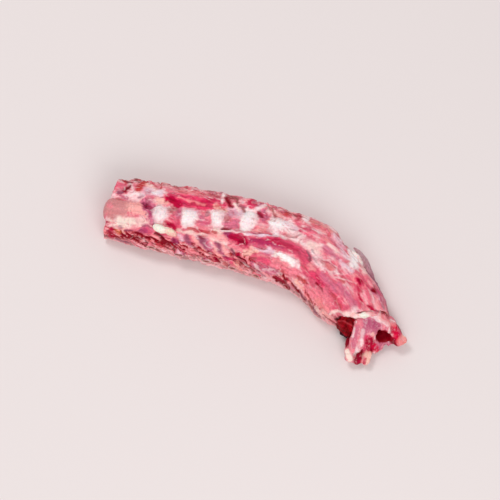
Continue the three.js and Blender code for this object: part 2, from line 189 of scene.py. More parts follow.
# What lies where: tissue, strength, half width, rise, and the points of its line. A point is a
# distance along the middle line and one over the skin from its top, positive on the far side.
# Each strip lies over those before it.
# Dark strips with a negative rise lie in creases and cuts: their darkness is partly the tissue's own
# colour and partly painted shade of the crease.
LAID = [
    # the sawn end of the back, and the crevices on its far side
    ("muscle", 0.5, 4, 0, (7, 8), (10, 22)),
    ("fascia", 0.7, 5.5, 0.2, (17, 7), (30, 6)),
    ("fascia", 0.7, 2.2, 0.2, (14, 22), (21, 12)),
    ("pink muscle", 0.6, 2.0, 0, (34, -22), (24, -23)),
    ("sawn bone", 1, 10.5, 0, (3, -7.5), (19, -8)),
    ("brown", 0.15, 2.4, 0, (3, -15), (17, -15)),
    ("pink muscle", 0.6, 3.0, 0, (5, -7), (8, -9)),
    ("pale salmon", 1, 8.4, 0.3, (26, -5.5), (38, -6.5)),
    ("rosy fat", 0.9, 3.6, 0.4, (4, -22), (22, -19.5), (34, -16.5), (48, -16)),
    ("cream fat", 0.9, 2.2, 0.2, (8, -21.5), (28, -18.5)),
    # the rough far corner of the sawn end
    ("brick", 0.8, 2.6, 0.4, (6, 25), (10, 20)),
    ("dark muscle", 0.8, 1.6, -0.5, (9, 24), (13, 21), (17, 23)),
    ("grey", 0.8, 1.6, 0.3, (4, 29), (9, 29)),
    ("fascia", 0.8, 1.6, 0.3, (12, 29), (20, 27)),
    ("brown", 0.8, 1.4, -0.4, (21, 30), (23, 24)),
    ("brick", 0.8, 1.6, -0.4, (36, 31), (38, 25)),
    ("dark muscle", 0.95, 2.6, -0.8, (10.5, 11), (13, 13.5), (16, 16.5)),
    ("clot", 0.4, 1.3, -0.4, (12, 13), (15.5, 16)),
    ("rose", 0.9, 1.8, -0.6, (9, 5.5), (17, 4.5)),
    ("mauve", 0.9, 1.6, -0.6, (6, 8.5), (9, 9)),
    ("brick", 0.95, 3.6, 0.8, (25, 13), (27, 19), (28, 27)),
    ("mauve", 0.8, 1.8, -0.4, (28, 7), (31, 8)),
    ("lavender", 0.9, 5.0, 0.3, (34, 13), (48, 14)),
    ("grey", 0.4, 1.5, 0, (33, 11), (38, 15)),
    ("white", 0.7, 2.4, 0.3, (40, 12), (46, 15)),
    ("peach", 0.6, 2.5, 0.2, (32, 22), (42, 18)),
    ("brick", 0.8, 1.5, -0.7, (44, 40), (45, 28), (46.5, 20)),
    ("brown", 0.7, 1.1, -0.5, (25, 44), (26, 28)),
    # the first groove across the row
    ("rose", 0.95, 6.0, -0.6, (36, 3), (43, -5), (48, -13)),
    ("purple", 0.7, 3.2, -1.0, (36, 2), (41, -3), (45, -9)),
    ("dark muscle", 0.3, 1.8, -0.5, (35, 1.5), (38.5, 1), (41, -3)),
    ("clot", 0.6, 0.9, -0.4, (38, 1.5), (39.5, -1)),
    # the white gristle over the joints, which runs out over the skin on both sides
    ("fascia", 0.7, 6.2, 0, (52.5, 2), (55, -9)),
    ("white", 0.85, 4.4, 0, (51.5, -1), (54, -9)),
    ("grey", 0.6, 1.6, -0.3, (48, 3), (50, 3)),
    ("crimson", 0.7, 1.7, 0, (54, 8.5), (59, 6.8)),
    ("fascia", 0.7, 8.5, 0, (77, 1), (80, -9)),
    ("white", 0.9, 5.8, 0, (76, 0), (79, -9)),
    ("lavender", 0.6, 3.6, 0, (78, 2), (85, 3)),
    ("pink muscle", 0.5, 1.9, 0, (73, 4.8), (84, 4.8)),
    ("fascia", 0.7, 8, 0, (100, 7), (105, -3), (108, -9)),
    ("white", 0.9, 4.8, 0, (101, 6), (105, -4)),
    ("pink muscle", 0.4, 2.2, 0, (101, -7), (107, -8.5)),
    ("fascia", 0.75, 8.5, 0, (134, 12), (133, -4)),
    ("white", 0.9, 4.2, 0, (132, 12), (132, -5)),
    ("fascia", 0.6, 8.5, 0, (157, 9), (172, 12)),
    ("white", 0.97, 6.2, 0, (155, 8.5), (161, 8)),
    ("fascia", 0.6, 2.6, 0, (153, 2.5), (160, 2)),
    ("lavender", 0.5, 3.4, 0, (166, 14), (176, 11)),
    # the waists of the vertebrae between the white joints
    ("brown", 0.6, 4.8, -0.4, (61, 1.5), (66, -1.5)),
    ("muscle", 0.6, 4.4, -0.5, (65, -5), (69, -11)),
    ("rose", 0.9, 2.6, -0.5, (69, 3), (71, -6)),
    ("muscle", 0.9, 2.6, -0.5, (70, -9), (72, -17)),
    ("crimson", 0.9, 1.3, -0.9, (60, -13.5), (66, -14), (71, -18)),
    ("pink muscle", 1, 5.6, -0.4, (92, -6), (97, -2)),
    ("rose", 0.8, 4.4, -0.3, (91, -4), (96, -6)),
    ("muscle", 0.6, 2.4, -0.3, (95, -5), (100, -6)),
    ("grey", 0.7, 1.6, -0.3, (94, 4), (97, 1)),
    ("pink muscle", 1, 6.2, -0.5, (115, -2), (124, -1)),
    ("rose", 0.8, 4.5, -0.6, (116, -4), (122, -2)),
    ("brown", 0.5, 3, -0.3, (112, 1), (116, 2)),
    ("rose", 0.6, 2.6, -0.3, (124, 3), (126, -3)),
    ("dark muscle", 0.95, 1.1, -1.2, (112, -8.8), (116, -8), (120, -7.4)),
    ("lavender", 0.8, 5, 0, (114, 9), (122, 10)),
    ("rose", 0.45, 3.4, -0.2, (112, 6), (119, 9)),
    ("rose", 0.9, 5.0, -0.6, (143, 17), (146, 11)),
    ("dark muscle", 0.8, 2.0, -0.8, (140.5, 17), (143, 12)),
    ("pink muscle", 0.6, 5.0, 0, (142, -2), (148, 2)),
    ("pale salmon", 0.6, 3.6, 0, (143, -3), (149, 1)),
    ("fascia", 0.4, 2, 0.2, (143, 4), (150, 5)),
    # the muscle band and the rim on the far side of the back
    ("peach", 0.8, 2.4, 0.2, (44, 8), (56, 6)),
    ("red muscle", 0.95, 6.0, 0.6, (57, 11), (76, 11.5), (106, 13.5)),
    ("crimson", 1, 3.3, -0.1, (56, 9.5), (61, 8), (67, 6)),
    ("dark muscle", 0.35, 1.8, 0, (57, 9.5), (62, 8)),
    ("crimson", 0.35, 1.3, -0.5, (60, 14), (68, 15.5), (73, 15)),
    ("crimson", 0.3, 1.3, -0.4, (68, 9), (84, 9), (98, 9)),
    ("pale salmon", 0.6, 0.9, 0.3, (66, 12), (80, 11), (92, 11)),
    ("crimson", 0.4, 1.0, -0.3, (78, 14), (95, 13)),
    ("crimson", 0.4, 3.0, 0.4, (88, 13), (98, 15)),
    ("pink muscle", 0.7, 1.2, 0.3, (84, 17), (98, 20)),
    ("pink muscle", 0.8, 3.0, 0.4, (56, 18.5), (80, 19.5)),
    ("salmon", 0.5, 2.4, 0, (62, 20.5), (96, 21.5)),
    ("brick", 0.6, 1.0, -0.3, (64, 19), (73, 17)),
    ("peach", 0.85, 2.6, 0.2, (101, 11), (111, 8)),
    ("brick", 0.5, 2.0, 0.2, (103, 12), (108, 10)),
    ("fascia", 0.85, 2.0, 0.4, (104, 32), (106, 16)),
    ("dark muscle", 0.95, 1.7, -1.0, (108.5, 26), (111, 19), (115, 14)),
    ("brown", 0.85, 1.5, -0.6, (117, 27), (120, 19), (127, 13)),
    ("mauve", 0.5, 1.2, -0.3, (121, 17), (127, 17)),
    ("cream fat", 0.6, 1.2, 0.2, (116, 18), (122, 12)),
    ("red muscle", 0.9, 4.4, 0.6, (130, 28), (133, 20)),
    ("crimson", 0.6, 2.0, 0.2, (130, 26), (131, 20)),
    ("rose", 0.7, 2.6, 0.4, (139, 27), (138, 21)),
    ("fascia", 0.8, 1.6, 0.3, (134, 17), (140, 21), (143, 30)),
    ("salmon", 0.7, 2.4, 0.2, (150, 22), (160, 19)),
    ("brown", 0.7, 1.2, -0.4, (149, 24), (155, 17)),
    ("brick", 0.75, 2.2, 0.3, (160, 31), (163, 22)),
    ("crimson", 0.7, 2.8, 0.3, (171, 32), (173, 22)),
    ("fascia", 0.9, 1.6, 0.2, (178, 42), (178, 22)),
    # the near side of the back
    ("grey", 0.7, 1.6, -0.3, (13, -23), (16, -24)),
    ("mauve", 0.8, 1.6, -0.4, (22, -27), (28, -26)),
    ("crimson", 0.8, 4.0, 0.6, (8, -29), (7, -36), (8, -42)),
    ("dark muscle", 0.6, 2.2, -0.4, (7, -32), (8, -38)),
    ("orange fat", 0.6, 2.4, 0.3, (13, -27), (16, -34)),
    ("peach", 0.7, 1.6, 0.3, (18, -24), (20, -30)),
    ("dark muscle", 1, 3.0, -0.9, (19, -33), (24, -37)),
    ("dark muscle", 0.8, 1.4, -0.7, (28, -34), (40, -33)),
    ("rose", 0.95, 4.6, 1.2, (38, -22), (45, -22)),
    ("muscle", 0.8, 3.0, 0.5, (40, -23), (47, -26)),
    ("purple", 0.6, 2.6, 0.3, (36, -23), (41, -25)),
    ("dark muscle", 1, 2.1, -1.0, (33, -28), (38, -29)),
    ("dark muscle", 0.95, 1.4, -1.0, (42, -31), (49, -31)),
    # painted shadow under the near edge of the rib head's gristle: a crescent of dark muscle and
    # clot below it
    ("dark muscle", 1, 2.1, -1.5, (51, -24), (56, -26), (60, -28)),
    ("clot", 0.6, 1.1, -0.5, (54, -25), (58, -26.5)),
    ("bright trim", 0.8, 1.6, 0.6, (48, -27), (56, -31)),
    ("dark muscle", 0.95, 2.2, -0.9, (59, -30), (64, -35), (70, -38)),
    ("crimson", 0.8, 1.5, -0.9, (70, -38), (78, -42)),
    ("purple", 0.95, 2.8, -0.5, (68, -28), (74, -31)),
    ("dark muscle", 0.6, 1.4, -0.5, (69, -29), (72, -32)),
    ("lavender", 0.85, 2.6, 0.5, (72, -22), (77, -25)),
    ("pale salmon", 0.6, 2.2, 0.4, (71, -18.5), (96, -18.5), (113, -18)),
    ("rosy fat", 0.7, 1.2, 0.2, (72, -18), (84, -18.5)),
    ("rosy fat", 0.8, 2.0, 0.4, (76, -19.5), (98, -20), (114, -23), (129, -27)),
    ("cream fat", 0.8, 3.8, 0.3, (108, -11), (111, -15)),
    ("pale salmon", 0.6, 3.2, 0.2, (111, -16), (118, -20)),
    ("brick", 0.8, 2.0, -0.3, (82, -15), (95, -14.5), (107, -14.5)),
    ("crimson", 0.7, 0.9, -0.4, (84, -14), (96, -14)),
    ("pink muscle", 0.8, 1.6, 0.2, (86, -11.5), (104, -11)),
    ("rose", 0.9, 3.0, 0.9, (80, -24), (86, -30)),
    ("mauve", 0.8, 2.2, 0, (80, -22.5), (85, -28)),
    ("rose", 0.95, 4.0, 0.8, (92, -22.5), (98, -26.5), (103, -31)),
    ("mauve", 0.85, 2.7, 0, (93, -22), (98, -26), (101, -29)),
    ("dark muscle", 0.6, 1.2, -0.2, (91, -20.5), (96, -22.5)),
    ("rose", 0.8, 2.2, 0.5, (100, -24), (106, -31)),
    ("pale salmon", 0.95, 1.4, 0.6, (87, -22), (93, -28), (104, -35)),
    ("dark muscle", 0.8, 1.5, -0.5, (87, -29), (93, -34), (100, -38)),
    ("dark muscle", 1, 2.4, -1.0, (104, -33), (109, -39), (116, -46)),
    ("crimson", 0.7, 2.6, -0.3, (106, -34), (112, -43)),
    ("rose", 0.9, 3.0, 0.8, (110, -26), (116, -32)),
    ("mauve", 0.85, 1.9, 0, (110.5, -24.5), (114.5, -29.5)),
    ("pale salmon", 0.95, 1.4, 0.6, (105, -23.5), (112, -33), (119, -39)),
    ("purple", 0.75, 2.9, 0.8, (119, -33), (124, -38)),
    ("mauve", 0.95, 1.6, -0.8, (126, -26.5), (130, -31)),
    ("pale salmon", 0.9, 1.3, 0.5, (116, -25), (121, -31), (127, -36)),
    ("red muscle", 0.9, 3.0, 0.3, (127, -36), (129, -44)),
    ("crimson", 1, 2.8, -1.0, (133, -30), (136, -34), (141, -36)),
    ("clot", 0.7, 1.5, -0.6, (133, -33), (136, -36)),
    ("dark muscle", 0.85, 1.7, -1.0, (138, -35), (146, -40), (154, -45), (162, -48)),
    ("salmon", 0.9, 4.4, 0.6, (134, -42), (138, -48)),
    ("peach", 0.7, 2.2, 0.3, (134, -41), (136, -47)),
    ("brick", 0.7, 2.6, -0.4, (120, -48), (126, -51)),
    # the muscles that run from the back into the neck
    ("pink muscle", 0.9, 3.6, 0.2, (124, -23), (140, -24), (148, -21)),
    ("muscle", 1, 5.6, 1.4, (122, -15), (136, -17), (150, -14.5), (168, -9), (184, -8), (200, -9)),
    ("purple", 0.9, 2.4, 0.4, (117, -14), (126, -14.5)),
    ("crimson", 1, 3.4, 0.4, (124, -15.5), (131, -17), (139, -17)),
    ("clot", 0.5, 2.0, 0, (132, -18), (138, -18.5)),
    ("crimson", 0.6, 3.0, 0.2, (144, -15), (156, -14), (168, -11)),
    ("rose", 0.5, 1.6, 0.2, (142, -18), (156, -17), (172, -12)),
    ("purple", 0.6, 2.0, 0, (143, -14.5), (158, -13)),
    ("crimson", 0.45, 1.8, -0.3, (170, -9), (180, -8.5), (188, -8)),
    ("crimson", 0.6, 1.0, -0.3, (156, -10), (170, -6)),
    ("purple", 0.6, 0.9, -0.3, (158, -14), (174, -11)),
    ("fascia", 0.85, 1.3, 0.5, (112, -10.5), (124, -10), (138, -10.5)),
    ("lavender", 0.9, 1.4, 0.4, (136, -10), (150, -7), (164, -2)),
    ("purple", 0.7, 1.1, -0.5, (142, -7.5), (150, -4.5), (158, -2)),
    ("fascia", 0.8, 1.6, 0.4, (160, -2), (174, 1), (192, 2)),
    ("mauve", 0.9, 1.5, -0.7, (195, -4), (200, -7), (204, -9)),
    ("lavender", 0.9, 2.2, 0.4, (148, -21.5), (160, -20), (174, -18.5)),
    ("cream fat", 0.9, 3.6, 0.4, (170, -19.5), (190, -21)),
    ("white", 0.95, 4.2, 0.7, (173, -18.5), (186, -19), (198, -19)),
    ("peach", 0.9, 3.4, 0.3, (141, -26), (150, -24)),
    ("muscle", 0.9, 4.8, 0.9, (149, -28.5), (162, -28), (176, -28.5)),
    ("pink muscle", 0.9, 5.0, 0.5, (172, -29), (202, -28)),
    ("muscle", 0.8, 2.4, 0.2, (154, -28.5), (168, -28.5)),
    ("brown", 0.6, 1.6, 0, (147, -30), (151, -28)),
    ("rose", 0.5, 2.0, 0, (156, -25), (168, -24)),
    ("brick", 0.5, 1.6, -0.2, (178, -32), (192, -32)),
    ("bright trim", 0.6, 1.1, 0.3, (152, -26), (170, -25.5), (188, -25.5)),
    ("rose", 0.8, 3.8, 0.3, (150, -36), (168, -37), (178, -35)),
    ("fascia", 0.6, 1.0, 0.4, (152, -35), (160, -41)),
    ("fascia", 0.5, 0.9, 0.4, (162, -38), (176, -34)),
    ("mauve", 0.6, 1.4, -0.3, (152, -40), (166, -46)),
    ("crimson", 0.8, 1.6, -0.2, (191, -37), (198, -38)),
    # the deep cuts where the near flank of the back meets the neck: dark muscle, partly painted
    # shade that falls in the cuts
    ("dark muscle", 1, 5.0, -0.8, (178, -44), (183, -46.5), (187, -51)),
    ("dark muscle", 1, 3.8, -0.8, (191, -41), (192.5, -47), (195, -53)),
    ("crimson", 0.4, 1.5, -0.3, (191, -42), (193, -50)),
    # the neck behind the row: its far muscles, and the fat and fascia between them
    ("muscle", 0.8, 4.0, 0.6, (181, 13), (190, 17)),
    ("red muscle", 0.4, 2.0, 0.2, (182, 14), (186, 13)),
    ("fascia", 0.7, 3.4, 0.2, (164, 6), (182, 6)),
    ("brown", 0.5, 1.1, -0.3, (168, 3.5), (178, 4), (181, 8)),
    ("brown", 0.45, 1.0, -0.3, (170, 9), (176, 11)),
    ("fascia", 0.4, 5.0, 0.2, (188, 5), (203, 1), (212, -6)),
    ("rosy fat", 0.8, 3.4, 0.4, (192, 4), (204, 2)),
    ("fascia", 0.7, 2.0, 0.3, (199, -1), (207, -5)),
    ("pink muscle", 0.6, 2.4, 0, (206, 4), (214, 1)),
    ("fascia", 0.6, 1.7, 0.3, (207, -8), (222, -11)),
    ("grey", 0.7, 1.1, -0.4, (198, 1), (202, -1)),
    ("grey", 0.6, 1.0, -0.4, (203, -5), (213, -8)),
    ("dark muscle", 0.6, 1.0, -0.4, (201, -8), (204, -10)),
    ("salmon", 0.8, 5.0, 0.4, (184, 28), (200, 27)),
    ("muscle", 0.5, 2.0, 0, (186, 25), (196, 25)),
    ("fascia", 0.7, 1.1, 0.4, (186, 19), (198, 21), (208, 14)),
    ("pink muscle", 0.8, 3.4, 0.4, (198, 19), (207, 18)),
    ("lavender", 0.6, 3.4, 0.4, (204, 27), (216, 23)),
    ("rose", 0.35, 1.6, 0.2, (205, 21), (214, 20)),
    ("rosy fat", 0.8, 2.2, 0.3, (207, 13.5), (218, 12.5)),
    ("salmon", 0.6, 1.4, 0, (200, 16), (207, 16)),
    ("rose", 0.8, 2.4, -0.2, (206, 8.5), (220, 8.5)),
    ("lavender", 0.6, 3.4, 0.2, (212, 20), (224, 15)),
    ("pink muscle", 0.6, 2.0, 0.2, (217, 12), (226, 12)),
    ("white", 0.9, 5.5, 0.5, (222, 31), (231, 15)),
    ("rosy fat", 0.8, 3.0, 0.3, (236, 30), (240, 19)),
    ("lavender", 0.8, 1.7, 0.3, (224, 8.5), (238, 9.5)),
    ("rose", 0.6, 1.2, -0.2, (226, 5), (238, 5.5)),
    # loops of fascia on the middle of the neck
    ("brown", 0.4, 3.0, 0.4, (215, -3.5), (224, -2)),
    ("salmon", 0.6, 2.6, 0.2, (219, -3), (226, -3)),
    ("fascia", 0.6, 1.0, 0.4, (212, -2), (217, 1), (225, 2), (229, -1), (226, -6), (218, -8)),
    ("fascia", 0.4, 1.0, 0.4, (228, -6), (234, 0), (236, 4), (230, 6)),
    ("brick", 0.7, 2.0, -0.4, (237, -1), (241, -3)),
    ("fascia", 0.5, 0.9, 0.3, (233, -6), (244, 3), (256, 6)),
    # the long muscle of the neck and those on its near side
    ("muscle", 0.8, 8.0, 0.6, (204, -17), (226, -20), (246, -20), (262, -20)),
    ("brick", 0.4, 2.2, 0, (202, -17), (212, -20)),
    ("pale salmon", 0.6, 2.4, 0, (205, -13), (214, -14)),
    ("red muscle", 0.8, 3.4, 0.2, (213, -18), (232, -20)),
    ("crimson", 0.6, 1.5, -0.2, (219, -18), (230, -21)),
    ("dark muscle", 0.95, 1.1, -0.7, (226, -23), (238, -23.5)),
    ("rose", 0.7, 2.8, 0, (222, -14), (246, -14)),
    ("brick", 0.5, 2.0, 0, (246, -19), (262, -18)),
    ("pink muscle", 0.7, 3.4, 0.2, (228, -27), (256, -25)),
    ("brick", 0.85, 1.4, -0.4, (202, -28), (213, -29)),
    ("peach", 0.8, 2.2, 0.4, (203, -33), (216, -35)),
    ("pink muscle", 0.9, 3.6, 0.3, (216, -32), (240, -33)),
    ("salmon", 0.8, 4.6, 0.3, (240, -33), (256, -32)),
    ("pink muscle", 0.5, 4.0, 0, (236, -28), (260, -28)),
    ("rosy fat", 0.5, 3.2, 0.3, (254, -38), (262, -37)),
    # low on the near flank, first along the neck and then along the back
    ("dark muscle", 0.95, 3.6, -0.6, (185, -45), (193, -47)),
    ("crimson", 0.5, 3.0, 0, (181, -44), (192, -46)),
    ("rose", 0.7, 3.0, -0.3, (194, -45), (204, -47)),
    ("dark muscle", 0.95, 3.0, -0.7, (201, -40), (207, -42), (214, -46)),
    ("clot", 0.5, 1.3, -0.4, (210, -43), (214, -46)),
    ("mauve", 1, 4.2, -0.6, (216, -46), (225, -49)),
    ("dark muscle", 0.6, 2.4, -0.3, (218, -49), (223, -52)),
    ("brown", 0.9, 3.6, -0.4, (231, -44), (237, -50)),
    ("mauve", 1, 3.4, -0.4, (241, -47), (247, -52)),
    ("mauve", 0.7, 2.8, -0.3, (12, -45), (30, -47), (38, -46)),
    ("brown", 0.9, 3.0, -0.4, (52, -43), (55, -52)),
    ("brown", 0.6, 2.0, -0.3, (70, -42), (80, -47)),
    # the torn place near the end of the neck, and the far side beside the leaf
    ("red muscle", 0.5, 4.2, 0.2, (248, 12), (262, 7)),
    ("bright trim", 0.8, 6.0, 0.5, (245.5, 9), (249.5, 8)),
    ("red muscle", 0.9, 4.2, 0.2, (246, 9), (250, 8)),
    ("crimson", 0.95, 2.4, -0.4, (246.5, 9), (249.5, 8)),
    ("dark muscle", 0.6, 1.1, -0.4, (247, 9), (250, 7.5)),
    ("mauve", 0.75, 3.2, 0, (256, 29), (271, 25)),
    ("crimson", 0.6, 1.6, -0.2, (250, 7), (256, 5)),
    ("crimson", 0.7, 1.1, -0.5, (250, 5), (258, 1)),
    ("crimson", 0.8, 1.2, -0.5, (258, 1), (267, -1)),
    ("purple", 0.85, 1.1, -0.6, (251, -6.5), (257, -6.5)),
    ("rose", 0.7, 3.4, 0, (240, -9), (268, -7)),
    ("mauve", 0.6, 2.8, 0.2, (254, 23), (262, 21), (269, 17)),
    ("purple", 0.6, 1.2, -0.3, (256, 20.5), (265, 17)),
    ("purple", 0.6, 2.6, 0.2, (248, 28), (258, 22)),
    ("rose", 0.7, 3.0, 0.3, (255, 33), (266, 24)),
    ("rose", 0.8, 2.6, 0, (256, 17), (265, 13)),
    ("dark muscle", 1, 1.9, -0.6, (254.5, 19), (257.5, 16)),
    # the rim of fat at the end of the neck, and last touches over all the others
    ("fascia", 0.7, 2.0, 0.3, (268, -6), (269, -15)),
    ("rosy fat", 0.9, 1.5, 0.4, (262, -31), (264, -25), (268, -18), (271, -9)),
    ("bright trim", 0.8, 1.4, 0.3, (262, 14), (271, 11)),
    ("muscle", 0.6, 2.6, 0, (254, 24), (262, 22)),
    ("bright trim", 0.5, 2.0, 0.2, (247, 26.5), (253, 23)),
    ("white", 0.85, 4.0, 0.1, (221, 30), (230, 18)),
    # the deep cuts darkened once more: dark muscle laid again as painted shade in them
    ("dark muscle", 0.95, 5.0, 0, (179, -43), (187, -50)),
    ("dark muscle", 0.95, 3.8, 0, (191, -42), (194, -51)),
    ("crimson", 0.7, 2.2, 0.2, (178, -41), (187, -42)),
    ("rosy fat", 0.7, 2.6, 0.2, (243, -41), (254, -45)),
    ("pale salmon", 0.8, 2.4, 0.2, (256, -39), (265, -35)),
    # the dark gap beside the atlas: partly blood, partly painted shade of the gap
    ("clot", 0.95, 2.4, -1.0, (271.5, -23), (270.5, -31)),
    ("crimson", 0.95, 1.8, -1.0, (268, 4), (272, 8)),
]


def inside(points, half_width, along, over):
    """How deep each place lies in a rounded strip round a line: 1 on the line and 0 at the edge,
    and its distance along the line and to the side of it."""
    points = np.array(points, float)
    steps = np.diff(points, axis=0)
    lengths = np.maximum(np.hypot(*steps.T), 1e-6)
    total = lengths.sum()
    nearest = np.full(along.shape, 1e9)
    run, side = np.zeros(along.shape), np.zeros(along.shape)
    for start, step, length, gone in zip(points, steps, lengths, np.cumsum(lengths) - lengths):
        ahead, beside = along - start[0], over - start[1]
        t = np.clip((ahead * step[0] + beside * step[1]) / length**2, 0, 1)
        away = np.hypot(ahead - t * step[0], beside - t * step[1])
        closer = away < nearest
        nearest = np.where(closer, away, nearest)
        run = np.where(closer, gone + t * length, run)
        side = np.where(closer, (beside * step[0] - ahead * step[1]) / length, side)
    taper = 0.72 + 0.28 * np.sin(np.pi * np.clip(run / total, 0, 1)) ** 0.7
    return 1 - nearest / (half_width * taper), run, side


def hex_to_linear(code):
    """The linear colour of an sRGB hex code."""
    value = np.array([int(code[k : k + 2], 16) for k in (1, 3, 5)]) / 255
    return np.where(value <= 0.04045, value / 12.92, ((value + 0.055) / 1.055) ** 2.4)


def covered(colours, tint, amount):
    """Colours with a tint over them, by an amount at each point: 0 leaves them, 1 hides them. The
    tint is a tissue's name, a hex code or a colour for each point."""
    if isinstance(tint, str):
        tint = hex_to_linear(TISSUES.get(tint, tint))
    return colours + (tint - colours) * np.clip(amount, 0, 1)[..., None]


def tissue_at(along, over, fibrous=1.0):
    """The colour of the skin at each place, and how far it rises there. The laid strips have
    wavy edges, and streaks along them where fibres run; a low fibrous value makes all smoother."""
    along, over = np.broadcast_arrays(np.asarray(along, float), over)
    shape = along.shape
    along, over = along.ravel(), over.ravel()
    # the ground that everything is laid on: pink muscle under mottled fascia
    mottle = rough_noise(along / 7, over / 4.5, seed=3)
    streak = rough_noise(along / 9 + over / 14, over / 1.6 - along / 11, seed=5)
    neck = ramp(along, 176, 200)
    grain_side = over + 4 * noise(along / 30, over / 16, seed=7)
    strand = rough_noise(along / 19, grain_side / 3.0, seed=9, octaves=4)
    colour = np.tile(hex_to_linear(TISSUES["pink muscle"]), (along.size, 1))

    def lay(name, strength):
        colour[:] = covered(colour, name, strength)

    lay("fascia", (0.6 - 0.15 * neck) * ramp(mottle, 0.15, 0.9))
    lay("muscle", 0.7 * ramp(-mottle, 0.1, 0.8))
    lay("fascia", 0.35 * neck * ramp(strand, 0.2, 0.9))
    lay("muscle", 0.5 * neck * ramp(-strand, 0.0, 0.6))
    lay("crimson", 0.25 * neck * ramp(-strand, 0.5, 0.9))
    # the trimmed near flank: slanting folds of red, brown and pink. The dark laid where the folds
    # sink is partly painted shade, and the bright trim on them is partly a painted highlight
    flank = ramp(-over, 24, 31) * (1 - 0.5 * ramp(along, 205, 235) * (1 - ramp(-over, 36, 44)))
    slant = over + 0.55 * along
    warp = 1.3 * rough_noise(along / 9, slant / 7, seed=12)
    fold = rough_noise(along / 9 + warp, (slant + 2 * warp) / 3.8, seed=11, octaves=4)
    lay("pink muscle", 0.9 * flank)
    lay("bright trim", flank * bell(fold, 0.12, 0.2))
    lay("fascia", flank * 0.5 * ramp(fold, 0.45, 0.9))
    lay("brick", flank * 0.9 * ramp(-fold, -0.02, 0.2))
    lay("dark muscle", flank * 0.85 * ramp(-fold, 0.2, 0.5))
    lay("fascia", 0.3 * ramp(-over, 38, 48))
    # the far flank: upright streaks of the same
    rim = ramp(over, 19, 25)
    lean = along + (0.3 + 0.5 * noise(along / 40, 0, seed=18)) * over
    lean = lean + 4 * rough_noise(along / 12, over / 9, seed=19)
    upright = rough_noise(lean / 5.5, over / 9, seed=17, octaves=4)
    lay("pink muscle", 0.7 * rim)
    lay("fascia", rim * 0.7 * ramp(upright, 0.0, 0.7))
    lay("brick", rim * 0.6 * ramp(-upright, 0.15, 0.7))
    lay("mauve", rim * 0.5 * ramp(-upright, 0.5, 0.9))
    crest = rim * (1 - ramp(over, 33, 39)) * (1 - 0.6 * neck)
    fleck = rough_noise(lean / 3.2, over / 4.5, seed=20)
    lay("brown", 0.7 * crest * ramp(fleck, 0.25, 0.65))
    lay("rosy fat", 0.5 * crest * ramp(-fleck, 0.25, 0.65))
    rise = 0.3 * mottle + 0.35 * neck * strand + 0.9 * flank * fold + 0.5 * rim * upright

    waver_along = 1.5 * noise(along / 4.5, over / 4.5, seed=21)
    waver_over = 1.1 * noise(along / 4.5, over / 3.5, seed=22)
    ragged = 0.3 * rough_noise(along / 2.8, over / 2.0, seed=23)
    clouded = 0.55 * rough_noise(along / 6, over / 4.5, seed=24)
    thin = 0.3 * ramp(rough_noise(along / 3.4, over / 3.0, seed=25), 0.1, 0.8)
    moved_along, moved_over = along + waver_along, over + waver_over
    for name, strength, half_width, lift, *points in LAID:
        low = np.min(points, axis=0) - 1.6 * half_width - 3
        high = np.max(points, axis=0) + 1.6 * half_width + 3
        here = np.flatnonzero(
            (along > low[0]) & (along < high[0]) & (over > low[1]) & (over < high[1])
        )
        if not here.size:
            continue
        deep, run, side = inside(points, half_width, moved_along[here], moved_over[here])
        soft = name in SOFT
        blur = min((4.0 if soft else 1.8) / half_width, 0.85)
        edge = ramp(deep + (clouded if soft else ragged)[here], -blur, blur) * strength
        if soft:
            edge = edge * (1 - thin[here])
        # fibres run along the strip, with a seed that goes by the length of the tissue's name
        fibre = rough_noise(run / 14, side / 1.1, seed=31 + len(name))
        if name not in FIBROUS:
            fibre = fibre * 0.15
        tint = hex_to_linear(TISSUES[name]) * (1 + 0.3 * fibre[:, None] * ramp(half_width, 1, 4))
        colour[here] = covered(colour[here], tint, edge)
        dome = np.sqrt(np.clip(1 - (1 - np.clip(deep, 0, 1)) ** 2, 0, 1))
        broad = half_width > 2.5  # narrower strips have no relief of fibres
        rise[here] += lift * dome * ramp(deep, 0, 0.2) + 0.18 * fibre * edge * broad
    # pale threads of fascia and dark cracks, which wander along the strip
    for name, seed, strength, lift in (("fascia", 45, 0.45, 0.2), ("crimson", 46, 0.5, -0.3)):
        wander = rough_noise(along / 16, over / 4.6 + along / 30, seed=seed, octaves=2)
        line_of_it = ramp(1 - np.abs(wander), 0.88, 0.98) * ramp(mottle, -0.5, 0.4)
        lay(name, fibrous * strength * (1 - 0.5 * neck) * line_of_it)
        rise += lift * line_of_it
    # fine grain: short fibres and specks
    speck = noise(along / 1.5, over / 1.2, seed=41)
    colour *= (1 + fibrous * (0.11 - 0.05 * neck) * streak + 0.07 * speck)[:, None]
    rise += 0.16 * streak + 0.12 * noise(along / 1.6, over / 1.4, seed=43)
    return np.clip(colour, 0, 1).reshape(shape + (3,)), rise.reshape(shape)


def node(tree, kind, inputs=(), **settings):
    """Adds a node with its settings; an input is given a value or another node's output."""
    new = tree.nodes.new(kind)
    for name, value in settings.items():
        setattr(new, name, value)
    for name, value in dict(inputs).items():
        if isinstance(value, bpy.types.NodeSocket):
            tree.links.new(value, new.inputs[name])
        else:
            new.inputs[name].default_value = value
    return new


